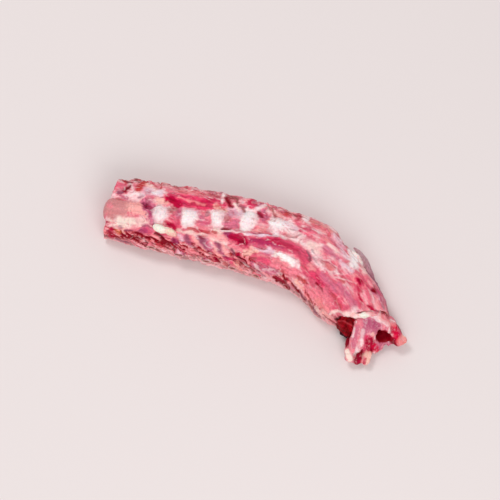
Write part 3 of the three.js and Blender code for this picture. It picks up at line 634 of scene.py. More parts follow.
def material(name, roughness, coat, bump, grain_mm, scatter):
    """A wet tissue: the colour is the piece's own, broken up by grain at a real size in
    millimetres, under a thin film of moisture."""
    made = bpy.data.materials.new(name)
    made.use_nodes = True
    tree = made.node_tree
    shader = tree.nodes["Principled BSDF"]
    where = node(tree, "ShaderNodeTexCoord").outputs["Object"]
    own = node(tree, "ShaderNodeAttribute", attribute_name="tissue").outputs["Color"]
    speckle = node(
        tree, "ShaderNodeTexNoise", {"Vector": where, "Scale": 1000 / grain_mm, "Detail": 4.0}
    ).outputs["Fac"]
    wide = node(
        tree, "ShaderNodeTexNoise", {"Vector": where, "Scale": 1000 / (grain_mm * 6), "Detail": 3.0}
    ).outputs["Fac"]
    lightness = node(
        tree, "ShaderNodeMapRange",
        {"Value": speckle, "From Min": 0.3, "From Max": 0.7, "To Min": 0.9, "To Max": 1.1},
    ).outputs["Result"]
    colour = node(
        tree, "ShaderNodeHueSaturation", {"Color": own, "Value": lightness, "Saturation": 1.06}
    ).outputs["Color"]
    wetter, drier = roughness * 0.8, roughness * 1.25
    film = node(
        tree, "ShaderNodeMapRange",
        {"Value": wide, "From Min": 0.35, "From Max": 0.65, "To Min": wetter, "To Max": drier},
    ).outputs["Result"]
    relief = node(
        tree, "ShaderNodeBump", {"Height": speckle, "Strength": bump, "Distance": 0.0004}
    ).outputs["Normal"]
    tree.links.new(colour, shader.inputs["Base Color"])
    tree.links.new(film, shader.inputs["Roughness"])
    tree.links.new(relief, shader.inputs["Normal"])
    # moist tissue mirrors little where it is seen at a slant, so both layers have a low IOR
    for socket, value in {
        "IOR": 1.22,
        "Specular IOR Level": 0.3,
        "Coat Weight": coat,
        "Coat Roughness": 0.12,
        "Coat IOR": 1.34,
        "Subsurface Weight": scatter,
        "Subsurface Radius": (1.0, 0.35, 0.25),
        "Subsurface Scale": 0.002,
    }.items():
        shader.inputs[socket].default_value = value
    return made


def mesh_piece(name, points, faces, colours, finish, replaces=()):
    """A piece of the backbone: points in millimetres, a list of faces, and a colour for each
    point."""
    mesh = bpy.data.meshes.new(name)
    mesh.from_pydata((points / 1000).tolist(), [], faces)
    tissue = mesh.attributes.new("tissue", "FLOAT_COLOR", "POINT")
    opaque = np.ones(len(colours))
    tissue.data.foreach_set("color", np.c_[np.clip(colours, 0, 1), opaque].ravel())
    mesh.shade_smooth()
    piece = bpy.data.objects.new(name, mesh)
    bpy.context.collection.objects.link(piece)
    mesh.materials.append(finish)
    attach(piece, "root")
    for cad_node in replaces:
        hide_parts(cad_node)
    return piece


def lofted(name, rings, colours, finish, replaces=()):
    """A skin over closed rings of points, with a fan to a middle point at each end. Its UV map is
    the share along it and round it."""
    count, around = rings.shape[:2]
    hubs = rings[[0, -1]].mean(axis=1)
    points = np.vstack([rings.reshape(-1, 3), hubs])
    shades = np.vstack([colours.reshape(-1, 3), colours[[0, -1]].mean(axis=1)])
    corners = ((0, 0), (1, 0), (1, 1), (0, 1))
    i, j = np.meshgrid(np.arange(count - 1), np.arange(around), indexing="ij")
    quads = np.stack([(i + di) * around + (j + dj) % around for di, dj in corners], -1)
    here = np.arange(around)
    after = (here + 1) % around
    first_hub, last_hub = np.full(around, count * around), np.full(around, count * around + 1)
    last_ring = (count - 1) * around
    start_fan = np.stack([first_hub, here, after], -1)
    end_fan = np.stack([last_hub, last_ring + after, last_ring + here], -1)
    faces = quads.reshape(-1, 4).tolist() + start_fan.tolist() + end_fan.tolist()
    piece = mesh_piece(name, points, faces, shades, finish, replaces)

    step = np.linalg.norm(np.diff(rings, axis=0), axis=2).mean(axis=1)
    along = 0.03 + 0.94 * np.r_[0, np.cumsum(step)] / step.sum()
    turn = np.arange(around + 1) / around
    now, next_turn = turn[:-1], turn[1:]
    quad_uv = np.stack([np.stack([along[i + di], turn[j + dj]], -1) for di, dj in corners], 2)
    fans = (
        ((0, now), (along[0], now), (along[0], next_turn)),
        ((1, next_turn), (along[-1], next_turn), (along[-1], now)),
    )
    fan_uv = [np.stack([np.stack([np.full(around, u), v], -1) for u, v in fan], 1) for fan in fans]
    layer = piece.data.uv_layers.new(name="OFBake")
    flat_uv = [uv.reshape(-1, 2) for uv in (quad_uv, *fan_uv)]
    layer.data.foreach_set("uv", np.vstack(flat_uv).ravel())
    return piece


# The rises of the CAD's own muscles, as spindles in distances along and across the middle line.
MUSCLES = [
    ((112, -13), (208, -7), 7.5, 3.6),
    ((138, -27), (216, -22), 9, 3.2),
    ((198, -10), (270, -13), 13, 3.2),
    ((204, -27), (264, -22), 6, 2),
    ((182, 15), (268, 7), 7, 2.4),
    ((190, 27), (268, 19), 6, 2.4),
    ((48, 12), (114, 17), 6, 3),
]


def muscle_rise(along, across):
    """How far the muscles lift the skin: a half round across, tapered to both ends."""
    rise = np.zeros(along.shape)
    for start, end, half_width, height in MUSCLES:
        dx, dy = end[0] - start[0], end[1] - start[1]
        length = np.hypot(dx, dy)
        t = ((along - start[0]) * dx + (across - start[1]) * dy) / length**2
        off = np.abs((along - start[0]) * dy - (across - start[1]) * dx) / length
        taper = np.sin(np.pi * np.clip(t, 0, 1)) ** 0.6 + 1e-6
        rise += height * taper * np.sqrt(np.clip(1 - (off / (half_width * taper)) ** 2, 0, None))
    return rise


ALONG_STEPS, ROUND_STEPS, CAP_RINGS = 372, 236, 22  # the skin's rings, their points, and each end

# How far over the skin each point of a fine ring lies, from the top of the middle line.
dense_turn = np.linspace(-np.pi / 2, 3 * np.pi / 2, 1441)
nominal = np.linspace(0, FLESH_LENGTH, ALONG_STEPS)
dense_across, dense_up = section(nominal[:, None], dense_turn[None, :])
dense_over = np.cumsum(
    np.hypot(
        np.diff(dense_across, axis=1, prepend=dense_across[:, :1]),
        np.diff(dense_up, axis=1, prepend=dense_up[:, :1]),
    ),
    axis=1,
)
over_top = slice(len(dense_turn) // 3, 2 * len(dense_turn) // 3)
for i in range(ALONG_STEPS):
    dense_over[i] -= np.interp(0, dense_across[i, over_top], dense_over[i, over_top])
low_over, high_over = dense_over[:, 0], dense_over[:, -1]

# The ring's own points: most of them over the top, where it is seen, and fewer underneath.
spread = np.linspace(-1, 1, ROUND_STEPS, endpoint=False)
reach = 0.78 * spread + 0.22 * spread**5
over = np.where(reach < 0, -reach * low_over[:, None], reach * high_over[:, None])
across = np.array([np.interp(over[i], dense_over[i], dense_across[i]) for i in range(ALONG_STEPS)])
up = np.array([np.interp(over[i], dense_over[i], dense_up[i]) for i in range(ALONG_STEPS)])

flesh_colour, flesh_rise = tissue_at(nominal[:, None], over)

# The muscles rise, the furrow is deeper beside the drums of the vertebrae, and a sheath of
# membrane lips over the drums, thicker at each joint.
along_grid = np.broadcast_to(nominal[:, None], across.shape)
top = ramp(up / eased(HEIGHT, along_grid), 0.45, 0.75)
from_row = across - row_offset(along_grid)
furrow = 2 * on_back(along_grid) * bell(from_row, 0, FURROW_WIDTH)
lifted = up + top * (muscle_rise(along_grid, across) - furrow)
joint = FIRST_JOINT + PITCH * np.round((along_grid - FIRST_JOINT) / PITCH)
at_joint = np.exp(-(((along_grid - joint) / 7.5) ** 4))
sheath = 9.9 + 0.6 * at_joint + 0.5 * rough_noise(along_grid / 4, over / 4, seed=51)
sheath -= 1.2 * (1 - ramp(along_grid, 17, 22))
sheath += 1.6 * ramp(along_grid, 20, 25) * (1 - ramp(along_grid, 34, 40))
sheath += 1.2 * ramp(along_grid, 172, 182)
drum = AXIS_HEIGHT + SQUAT * np.sqrt(np.clip(sheath**2 - from_row**2, 0, None))
drum = np.where(np.abs(from_row) < sheath, drum, 0)
drum *= 1 - ramp(along_grid, 194, 200)
FILLET = 5
share_over = np.clip(0.5 + (lifted - drum) / FILLET, 0, 1)
joined = drum + (lifted - drum) * share_over + FILLET / 2 * share_over * (1 - share_over)
lifted = np.where((drum > 0) & (top > 0.5), joined, lifted)

# The flanks are trimmed unevenly, less so along the neck.
uneven = rough_noise(along_grid / 9 + up / 16, up / 8 + np.sign(across) * 9, seed=55)
flank_rise = (1 - 0.5 * ramp(along_grid, 170, 230)) * uneven - 0.8
half = np.where(across < 0, eased(NEAR, along_grid), eased(FAR, along_grid))
sideways = np.sign(across) * ramp(np.abs(across) / half, 0.75, 1) * flank_rise

# The sawn end is set back from the first vertebra, most in a notch beside it, and the neck's end
# slants.
part = along_grid / FLESH_LENGTH
inset = 4.5 + 2 * ramp(across, -3, 12) + 5 * bell(across, -20.5, 3.2)
slant = np.where(across < 0, 0.34, 0.45) * across
flesh = place(
    along_grid + inset * (1 - part) ** 6 + slant * part**8, across + sideways, lifted
)

# The relief of the tissues goes out along the skin's normal, and what would reach over the
# height of the solid is pressed down.
turned = np.roll(flesh, -1, axis=1) - np.roll(flesh, 1, axis=1)
normal = np.cross(np.gradient(flesh, axis=0), turned)
normal /= np.linalg.norm(normal, axis=2)[..., None] + 1e-9
if normal[ALONG_STEPS // 2, ROUND_STEPS // 2, 2] < 0:
    normal = -normal
grounded = ramp(up, 0.2, 5)
flesh = flesh + normal * (flesh_rise * (0.25 + 0.75 * grounded) * ramp(up, -0.5, 1.5))[..., None]
flesh[..., 2] = np.maximum(flesh[..., 2], 0)
PRESSED_FROM = 43.5  # above this height the skin rises half as much
flesh[..., 2] -= 0.5 * np.maximum(flesh[..., 2] - PRESSED_FROM, 0)


def on_skin(along, over_skin):
    """The point of the flesh's skin and the way out of it, at a place on it."""
    i = np.interp(along, nominal, np.arange(ALONG_STEPS))
    low, high = np.interp(along, nominal, low_over), np.interp(along, nominal, high_over)
    wanted = np.where(over_skin < 0, -over_skin / low, over_skin / high)
    j = np.interp(wanted, reach, np.arange(ROUND_STEPS))
    i0, j0 = np.clip(i.astype(int), 0, ALONG_STEPS - 2), np.clip(j.astype(int), 0, ROUND_STEPS - 2)
    fi, fj = (i - i0)[..., None], (j - j0)[..., None]
    return [
        (grid[i0, j0] * (1 - fi) + grid[i0 + 1, j0] * fi) * (1 - fj)
        + (grid[i0, j0 + 1] * (1 - fi) + grid[i0 + 1, j0 + 1] * fi) * fj
        for grid in (flesh, normal)
    ]


def cut_face(ring, shade, tissue, bulge, ahead):
    """Rings that close an end with the face of the cut: muscle with a thin rim of fat and a few
    seams of it. The face is the end ring shrunk towards its middle, a little domed and uneven."""
    middle = ring.mean(axis=0)
    scale = np.linspace(1, 0, CAP_RINGS + 2)[1:-1, None]
    inward = 1 - scale
    rings = middle + (ring - middle) * scale[..., None]
    rings += ahead * (bulge * (1 - scale**2))[..., None]
    wavy = rough_noise(rings[..., 1] / 4, rings[..., 2] / 4, seed=61)
    rings += ahead * (0.8 * wavy * ramp(inward, 0.02, 0.2))[..., None]
    seam = rough_noise(rings[..., 1] / 15, rings[..., 2] / 12, seed=63, octaves=2)
    tint = hex_to_linear(TISSUES[tissue]) * (1 + 0.18 * wavy)[..., None]
    tint = covered(tint, "crimson", 0.5 * ramp(seam, 0.1, 0.6))
    tint = covered(tint, "rosy fat", 0.7 * ramp(-np.abs(seam), -0.09, -0.02))
    tint = covered(tint, "rosy fat", 0.7 * bell(inward + 0.03 * wavy, 0.05, 0.05))
    return rings, covered(shade, tint, ramp(inward, 0.0, 0.06))


ahead_start, ahead_end = (np.array([*line_ahead[k], 0]) for k in (0, -1))
start_rings, start_shades = cut_face(flesh[0], flesh_colour[0], "muscle", -1.2, ahead_start)
# the neck's end face takes dark muscle: its own colour, and partly painted shade of the gap beside
# the atlas
end_rings, end_shades = cut_face(flesh[-1], flesh_colour[-1], "dark muscle", -5.0, ahead_end)
flesh_rings = np.concatenate([start_rings[::-1], flesh, end_rings])
flesh_rings[..., 2] = np.maximum(flesh_rings[..., 2], 0)
flesh_shades = np.concatenate([start_shades[::-1], flesh_colour, end_shades])
raw_flesh = material("raw lamb flesh", 0.45, 0.06, 0.3, 1.6, 0.12)
lofted("flesh_skin", flesh_rings, flesh_shades, raw_flesh, ["flesh"])

# ---- Vertebrae ----
# Seven bodies of bone, each a drum with a waist and a lip of white cartilage at both ends. The
# first was sawn through, and shows its smooth pale pink end.
LIP_RADIUS, WAIST_RADIUS = 11, 8.8
DRUM_SIDES = 72
JOINT_ROOM = 3.5  # from the middle of a joint to the face of a vertebra
scraped_bone = material("scraped bone", 0.42, 0.12, 0.25, 1.2, 0.15)


def drum_rings(start, end, radius_at, part, seed, swell=0.35):
    """A drum along the row between two distances: rings whose radius follows the share along it,
    with uneven swellings. Gives the rings, and each point's distances along and across the middle
    line, at which it takes the skin's colour."""
    around = 2 * np.pi * np.arange(DRUM_SIDES) / DRUM_SIDES
    part, turn = np.meshgrid(part, around, indexing="ij")
    along = start + (end - start) * part
    uneven = rough_noise(along / 5, np.cos(turn) * 3, np.sin(turn) * 3, seed=seed)
    radius = radius_at(part) + swell * uneven
    across = row_offset(along) - radius * np.cos(turn)
    up = AXIS_HEIGHT + SQUAT * radius * np.sin(turn)
    return place(along, across, up), along, across


def waisted(part):
    """The radius of a whole vertebra along it: a lip at each end, rounded over, and a waist."""
    from_middle = np.abs(2 * part - 1)
    lip = WAIST_RADIUS + (LIP_RADIUS - WAIST_RADIUS) * ramp(from_middle, 0.25, 0.82)
    return lip * (1 - 0.1 * ramp(from_middle, 0.92, 1.0))


def sawn(part):
    """The radius of the sawn vertebra along it: rounded over like a quarter oval at its front."""
    front = np.clip(1 - part / 0.3, 0, 1)
    return np.where(part < 0.5, 10.6 * (1 - front**2.6) ** 0.5 + 0.3, 10.9)


def with_faces(rings, shades, steps):
    """The rings with a flat face at both ends: the end ring shrunk to its middle, in its colours."""
    shrink = np.linspace(0.96, 0.04, steps)[:, None, None]
    first, last = rings[0].mean(axis=0), rings[-1].mean(axis=0)
    front = first + (rings[0] - first) * shrink
    back = last + (rings[-1] - last) * shrink
    front_shades, back_shades = (np.repeat(shades[[k]], steps, axis=0) for k in (0, -1))
    return (
        np.concatenate([front[::-1], rings, back]),
        np.concatenate([front_shades, shades, back_shades]),
    )


for i in range(1, 8):
    end_joint = FIRST_JOINT + (i - 1) * PITCH
    start, end = end_joint - PITCH + JOINT_ROOM, end_joint - JOINT_ROOM
    if i == 1:
        part = np.linspace(0, 1, 56) ** 1.6  # closer rings where the front rounds over
        rings, along, across = drum_rings(start - JOINT_ROOM, end, sawn, part, 70 + i)
        shades, _ = tissue_at(along, across, 0.35)
        cells = rough_noise(rings[..., 1] / 4, rings[..., 2] / 4, seed=90)[..., None]
        bare = hex_to_linear(TISSUES["sawn bone"]) * (1 + 0.08 * cells)
        shades = covered(shades, bare, ramp(1 - part / 0.3, 0.5, 0.85)[:, None])
    else:
        part = np.linspace(0, 1, 56)
        rings, along, across = drum_rings(start, end, waisted, part, 70 + i)
        shades, _ = tissue_at(along, across)
        uneven = 0.2 * rough_noise(along / 5, across / 3.5, seed=130 + i)
        gristle = ramp(np.abs(2 * part - 1)[:, None] + uneven, 0.6, 1.0)
        mottled = 0.6 + 0.4 * rough_noise(along / 4, across / 4, seed=80 + i)
        shades = covered(shades, "white", 0.4 * gristle * mottled)
    rings, shades = with_faces(rings, shades, 9)
    lofted(f"vertebra_body_{i}", rings, shades, scraped_bone, [f"vertebra_{i}"])

# ---- Discs ----
# Seven discs of wet white cartilage, one in each joint of the row. Each bulges a little past the
# bone on both sides of it, and its glossy rim is what shows.
DISC_RADIUS, DISC_HALF_LENGTH = 11.9, 5.5
wet_cartilage = material("wet cartilage", 0.3, 0.25, 0.12, 2.0, 0.2)


def bulging(part):
    """The radius of a disc along it: it falls off towards both faces."""
    return DISC_RADIUS * (1 - 0.12 * np.abs(2 * part - 1) ** 2.4)


for i in range(1, 8):
    middle = FIRST_JOINT + (i - 1) * PITCH
    start, end = middle - DISC_HALF_LENGTH, middle + DISC_HALF_LENGTH
    rings, along, across = drum_rings(start, end, bulging, np.linspace(0, 1, 26), 100 + i, 0.3)
    shades, _ = tissue_at(along, across)
    if i > 1:
        cloudy = ramp(rough_noise(along / 5, across / 4, seed=120 + i), 0.0, 0.8)
        cartilage = covered(hex_to_linear(TISSUES["white"]), "lavender", 0.5 * cloudy)
        wander = 2.5 * rough_noise(along / 6, across / 3.5, seed=110 + i)
        gristle = ramp(1 - np.abs(along + wander - middle) / 6.5, 0, 0.6)
        shades = covered(shades, cartilage, 0.45 * gristle)
    rings, shades = with_faces(rings, shades, 7)
    lofted(f"cartilage_disc_{i}", rings, shades, wet_cartilage, [f"disc_{i}"])

# ---- Rib stubs ----
# The ribs were sawn off close to the backbone. Each stub is a flat rod of bone, and its cut end,
# just proud of the flank, shows a thin pale wall round brown marrow.
RIB_HALF_WIDTH, RIB_HALF_THICKNESS, PROUD = 4.6, 3.2, 0.9
RIB_HEIGHT, RIB_FALL, RIB_SWEEP = 28.5, 9, 4  # at its head, and how far its end is below and back
cut_bone = material("sawn rib bone", 0.45, 0.1, 0.3, 0.9, 0.1)

for side, side_name, joints in ((1, "far", range(1, 7)), (-1, "near", range(2, 7))):
    for number, i in enumerate(joints, 1):
        middle = FIRST_JOINT + (i - 1) * PITCH
        outer = side * (eased(FAR if side > 0 else NEAR, middle) + PROUD)
        inner = row_offset(middle) + side * 12.4
        around = side * 2 * np.pi * np.arange(28) / 28
        part, turn = np.meshgrid(np.linspace(0, 1, 14), around, indexing="ij")
        grow = 1 + 0.07 * noise(np.cos(turn) * 2 + i * 7, np.sin(turn) * 2 + part * 3, seed=140)
        along = middle - RIB_SWEEP * part + RIB_HALF_WIDTH * grow * np.cos(turn)
        up = RIB_HEIGHT - RIB_FALL * part + RIB_HALF_THICKNESS * grow * np.sin(turn)
        rings = place(along, inner + (outer - inner) * part, up)
        shades, _ = tissue_at(along, side * (24 + 0.4 * (28 - up)))
        end = rings[-1].mean(axis=0)
        shrink = np.linspace(0.93, 0.05, 8)[:, None]
        face = end + (rings[-1] - end) * shrink[..., None]
        cells = rough_noise(face[..., 0] / 1.6, face[..., 2] / 1.6, seed=150 + i)
        marrow = hex_to_linear(TISSUES["brown"]) * (1 + 0.3 * cells)[..., None]
        wall = hex_to_linear(TISSUES["rosy fat"]) * 0.85
        cut = covered(marrow, wall, 0.8 * ramp(shrink + 0.2 * cells, 0.55, 0.95))
        lofted(
            f"rib_stub_{side_name}_{number}", np.concatenate([rings, face]),
            np.concatenate([shades, cut]), cut_bone, [f"rib_{side_name}_{number}"],
        )

# ---- Cartilage knob ----
# The head of a rib was cut through on the near edge of the row, and its gristle stands out as two
# joined lobes: smooth, wet and whiter than anything round them.


def smooth_min(a, b, width):
    """The smaller of two fields, with the corner between them filled to a fillet."""
    h = np.clip(0.5 + 0.5 * (b - a) / width, 0, 1)
    return b + (a - b) * h - width * h * (1 - h)


def smooth_max(a, b, width):
    """The larger of two fields, with the corner between them rounded."""
    return -smooth_min(-a, -b, width)


def lump(x, y, z, middle, radii, lean=0, turn=0):
    """The field of an ellipsoid, less than 0 inside and about a distance outside: it leans about
    X and is then turned about Z, in degrees."""
    x, y, z = x - middle[0], y - middle[1], z - middle[2]
    cos, sin = np.cos(np.radians(turn)), np.sin(np.radians(turn))
    x, y = x * cos + y * sin, y * cos - x * sin
    cos, sin = np.cos(np.radians(lean)), np.sin(np.radians(lean))
    y, z = y * cos + z * sin, z * cos - y * sin
    k = np.sqrt((x / radii[0]) ** 2 + (y / radii[1]) ** 2 + (z / radii[2]) ** 2)
    steep = np.sqrt((x / radii[0] ** 2) ** 2 + (y / radii[1] ** 2) ** 2 + (z / radii[2] ** 2) ** 2)
    return k * (k - 1) / (steep + 1e-9)


def skin_of(field, low, high, step):
    """The closed skin of a field's inside, on a grid: one point in each cell that the skin
    crosses, at the mean of its crossings with the cell's edges, and a face round each crossed
    edge of the grid."""
    axes = [np.arange(a, b + step, step) for a, b in zip(low, high)]
    value = field(*np.meshgrid(*axes, indexing="ij"))
    within = value < 0
    cells = tuple(n - 1 for n in value.shape)
    total, count = np.zeros((*cells, 3)), np.zeros(cells)
    for axis in range(3):
        for other in ((0, 0), (0, 1), (1, 0), (1, 1)):
            start = np.insert(other, axis, 0)
            end = np.insert(other, axis, 1)
            a = value[tuple(slice(o, o + n) for o, n in zip(start, cells))]
            b = value[tuple(slice(o, o + n) for o, n in zip(end, cells))]
            crossed = (a < 0) != (b < 0)
            t = np.where(crossed, a / np.where(crossed, a - b, 1), 0)
            for k in range(3):
                total[..., k] += crossed * (start[k] + (t if k == axis else 0))
            count += crossed
    active = count > 0
    index = np.argwhere(active)
    points = np.array(low) + (index + total[active] / count[active][:, None]) * step
    number = np.full(cells, -1)
    number[active] = np.arange(len(index))
    faces = []
    for axis in range(3):
        order = (axis, (axis + 1) % 3, (axis + 2) % 3)
        inner, cell = np.transpose(within, order), np.transpose(number, order)
        a, b = inner[:-1, 1:-1, 1:-1], inner[1:, 1:-1, 1:-1]
        four = np.stack(
            [cell[:, :-1, :-1], cell[:, 1:, :-1], cell[:, 1:, 1:], cell[:, :-1, 1:]], -1
        )
        faces.append(four[a & ~b])
        faces.append(four[~a & b][:, ::-1])
    return points, np.vstack(faces).tolist()


def knob_field(x, y, z):
    """Two lobes, joined by a fillet, with a shallow dent between them and a slight waviness."""
    lobes = smooth_min(
        lump(x, y, z, (56, -20.6, 38.8), (7.2, 3.8, 4.2), 0, -14),
        lump(x, y, z, (66, -21.2, 37.4), (6.6, 3.1, 3.8), 0, -20),
        1.2,
    )
    return lobes + 0.35 * rough_noise(x / 3.5, y / 3, z / 3, seed=160)


points, faces = skin_of(knob_field, (46, -29, 30), (77, -12, 47), 0.45)
x, y, z = points.T
towards_far_lobe = ramp(x + 1.5 * noise(x / 3, y / 3, seed=161), 58, 66)
low_side = ramp(0.8 * noise(x / 2, y / 2, seed=162) - z, -37, -34)
blush = towards_far_lobe * ramp(noise(x / 2.6, y / 1.8, seed=163) - 0.25 * (y + 21), -0.3, 0.5)
shades = covered(hex_to_linear("#FBF6EA"), "#F0DCC6", 0.25 + 0.75 * towards_far_lobe)
shades = covered(shades, "salmon", 0.7 * low_side)
shades = covered(shades, "#F2B4AE", 0.75 * blush)
mesh_piece(
    "rib_head_gristle", place(x, y, z), faces, shades, wet_cartilage,
    ["cartilage_knob"],
)

# ---- Atlas ----
# The first bone of the neck: a ring round the canal, with a wing of thin bone on each side and, in
# front, two cups that held the skull. Scraps of muscle and blood still cling to it.
ATLAS_START = FLESH_LENGTH
CANAL_RADIUS, CANAL_ACROSS, CANAL_UP = 5.8, 6.2, 18


def rod(x, y, z, start, end, first, last):
    """The field of a rod from one point to another whose radius goes evenly from first to last."""
    start, step = np.array(start, float), np.array(end, float) - start
    t = np.clip(
        ((x - start[0]) * step[0] + (y - start[1]) * step[1] + (z - start[2]) * step[2])
        / (step @ step), 0, 1,
    )
    away = np.sqrt(sum((c - o - t * d) ** 2 for c, o, d in zip((x, y, z), start, step)))
    return away - first - (last - first) * t


def atlas_field(x, y, z):
    """The ring with its sloping front, joined by fillets to the wings, to the scrap of muscle that
    runs down its near side and to the four prongs; the canal and two hollows are taken out."""
    ring = (np.hypot((y - 2) / 15.5, (z - 17) / 13.6) - 1) * 13.6
    ring = smooth_max(ring, -8 - x, 2)
    ring = smooth_max(ring, (x - 25) * 0.891 + (z - 17) * 0.454, 2.5)
    wings = np.minimum(
        lump(x, y, z, (18, -18, 11), (14, 9.5, 4.8), 12, -38),
        lump(x, y, z, (15, 15, 15), (14, 9, 5), -12, 8),
    )
    column = smooth_min(
        rod(x, y, z, (7, -9, 26), (18, -17, 18), 5, 5.5),
        rod(x, y, z, (18, -17, 18), (27, -27, 11), 5.5, 3.8), 3,
    )
    ridge = rod(x, y, z, (14, -10, 28), (24, -15.5, 23), 1.6, 2.2)
    ridge = smooth_min(ridge, rod(x, y, z, (24, -15.5, 23), (29, -23, 14.5), 2.2, 1.8), 2)
    prongs = smooth_min(
        rod(x, y, z, (29, -11.5, 8.5), (35, -15.8, 7.2), 5.2, 4.2),
        rod(x, y, z, (22, -25, 9), (27.2, -29.6, 9.5), 4.6, 2.6), 2,
    )
    prongs = smooth_min(prongs, lump(x, y, z, (28, -20.5, 6), (7.5, 6.5, 4.6), 0, -38), 2)
    far_prong = rod(x, y, z, (20, 14, 17), (31.5, 19.2, 11), 8.2, 6.2)
    bone = smooth_min(smooth_min(ring, wings, 4), smooth_min(column, ridge, 1.5), 3)
    bone = smooth_min(bone, smooth_min(prongs, far_prong, 1), 3.5)
    canal = np.hypot(y - CANAL_ACROSS, z - CANAL_UP) - CANAL_RADIUS
    bone = smooth_max(bone, -canal, 1.5)
    bone = smooth_max(bone, -lump(x, y, z, (30, -6, 20), (6, 4.5, 7)), 2)
    bone = smooth_max(bone, -lump(x, y, z, (34.5, -22, 17), (6.5, 3.6, 7)), 1.5)
    folds = rough_noise(x / 14, y / 3.6 + x / 9, z / 5, seed=174, octaves=2)
    bone = bone + 0.7 * rough_noise(x / 5, y / 5, z / 5, seed=170, octaves=2) + 0.8 * folds
    return np.maximum(bone, -z)


points, faces = skin_of(atlas_field, (-8, -38, -1.5), (48, 34, 38), 0.7)
x, y, z = points.T
# tissue, strength, half width, and the two ends of the line it lies round, all on the bone
ATLAS_LAID = [
    ("rose", 0.85, 7, (9, -4, 31), (17, 1, 30)),
    ("purple", 0.5, 3.6, (11, -3, 31), (16, 3, 31)),
    ("fascia", 0.7, 2.4, (3, 2, 31), (18, 13, 27)),
    ("salmon", 0.5, 4, (10, 12, 28), (20, 17, 23)),
    ("pink muscle", 0.9, 5, (8, -12, 30), (26, -27, 14)),
    ("rose", 0.7, 2.8, (10, -14, 29), (22, -22, 20)),
    ("rose", 0.8, 2.6, (14, -7, 30), (20, -11, 27)),
    ("fascia", 0.5, 1.7, (15, -9.5, 29), (24, -15.5, 25)),
    ("fascia", 0.95, 2.2, (22, -15, 25), (29, -23, 16)),
    ("fascia", 0.7, 1.5, (5, -13, 30), (14, -20, 24)),
    ("dark muscle", 0.95, 3.2, (12.5, -23.5, 14), (22, -26.5, 9)),
    ("purple", 0.6, 2, (14, -22, 17), (22, -25, 13)),
    ("grey", 0.8, 1.6, (12, -27, 9), (20, -29, 6)),
    ("cream fat", 0.9, 2.9, (23, -29, 14), (29, -29, 11)),
    ("rose", 0.7, 1.5, (24, -30, 9), (29, -29, 9)),
    ("grey", 0.9, 2.0, (23, -33, 11), (27, -33, 8)),
    ("peach", 0.7, 1.8, (21, -3, 26), (25, -2, 22)),
    ("rose", 0.9, 3.6, (28, -1, 10), (32, 9, 8)),
    ("pink muscle", 0.7, 1.8, (30, 4, 7), (34, 10, 5)),
    ("rose", 0.7, 1.6, (26, 0, 13), (28, 8, 11)),
    ("red muscle", 1.0, 4.6, (22, -9, 23), (30, -12, 13)),
    ("crimson", 1.0, 4.4, (25, -7, 20), (31, -7, 12)),
    ("dark muscle", 0.5, 2.6, (26, -4, 18), (30, -6, 12)),
    ("fresh red", 0.8, 3.0, (28, -4, 13), (33, -2, 8)),
    ("dark muscle", 1.0, 5.4, (28, -20, 12), (34, -22, 8)),
    ("crimson", 0.5, 2.6, (28, -21, 11), (33, -21, 9)),
    ("crimson", 0.7, 2.2, (33, -24, 8), (35, -19, 10)),
    ("salmon", 0.9, 1.3, (30, -31, 6), (36, -25, 4)),
    ("peach", 0.95, 4.6, (34, -13.5, 11), (40, -18, 6)),
    ("pink muscle", 0.8, 2.0, (34, -17, 11), (38, -20, 8)),
    ("crimson", 0.7, 1.4, (35, -16, 11.5), (38, -19, 9)),
    ("fresh red", 1.0, 5.6, (25, 19, 19), (31, 17, 13)),
    ("crimson", 0.6, 3.0, (23, 13, 22), (25, 17, 21)),
    ("red muscle", 0.8, 2.6, (26, 21, 20), (30, 21, 17)),
    ("dark muscle", 0.8, 2.6, (22, 24, 19), (27, 26, 13)),
    ("dark muscle", 0.95, 3.6, (30, 12, 15), (35, 14, 9)),
    ("salmon", 1.0, 5.0, (34, 21, 14), (38, 21, 8)),
    ("orange fat", 0.4, 2.6, (35, 24, 11), (38, 22, 8)),
    ("peach", 0.9, 2.4, (31, 25, 13), (38, 25, 7)),
]
mottle = rough_noise(x / 9, y / 3.5 + x / 7, z / 5, seed=171)
shades = covered(hex_to_linear(TISSUES["pink muscle"]), "fascia", 0.7 * ramp(mottle, 0.1, 0.7))
shades = covered(shades, "rose", 0.6 * ramp(-mottle, 0.1, 0.7))
ragged = 0.9 * rough_noise(x / 3.2, y / 3.2, z / 3.2, seed=172, octaves=2)
for name, strength, half_width, start, end in ATLAS_LAID:
    away = rod(x, y, z, start, end, half_width, half_width) + ragged
    shades = covered(shades, name, strength * ramp(-away, -0.4 * half_width, 0.3 * half_width))
from_canal = np.hypot(y - CANAL_ACROSS, z - CANAL_UP) / 7.2 + 0.14 * ragged
shades = covered(shades, "#8C0A1A", ramp(-from_canal, -1.08, -0.9))
threads = ramp(1 - np.abs(rough_noise(x / 10, y / 2.5 + x / 8, z / 3, seed=175)), 0.86, 0.97)
shades = covered(shades, "fascia", 0.25 * threads * ramp(from_canal, 1.0, 1.2))
shades *= (1 + 0.08 * noise(x / 1.6, y / 1.6, z / 1.6, seed=173))[:, None]
base, heading = place(ATLAS_START, 0, 0), line_ahead[-1]


def beside_atlas(x, y, z):
    """A place given from the middle of the atlas's back edge, along the neck, across it and up."""
    return np.stack(
        [
            base[0] + x * heading[0] - y * heading[1],
            base[1] + x * heading[1] + y * heading[0],
            np.maximum(z, 0),
        ],
        -1,
    )


bloody_bone = material("bone under blood and membrane", 0.48, 0.05, 0.18, 1.2, 0.12)
mesh_piece("atlas_bone", beside_atlas(x, y, z), faces, shades, bloody_bone, ["atlas"])

# ---- Joint capsule ----
# A wet white band of ligament over the joint between the neck and the atlas. It runs from the far
# side over the top and ends beside the blood-filled gap on the near side.


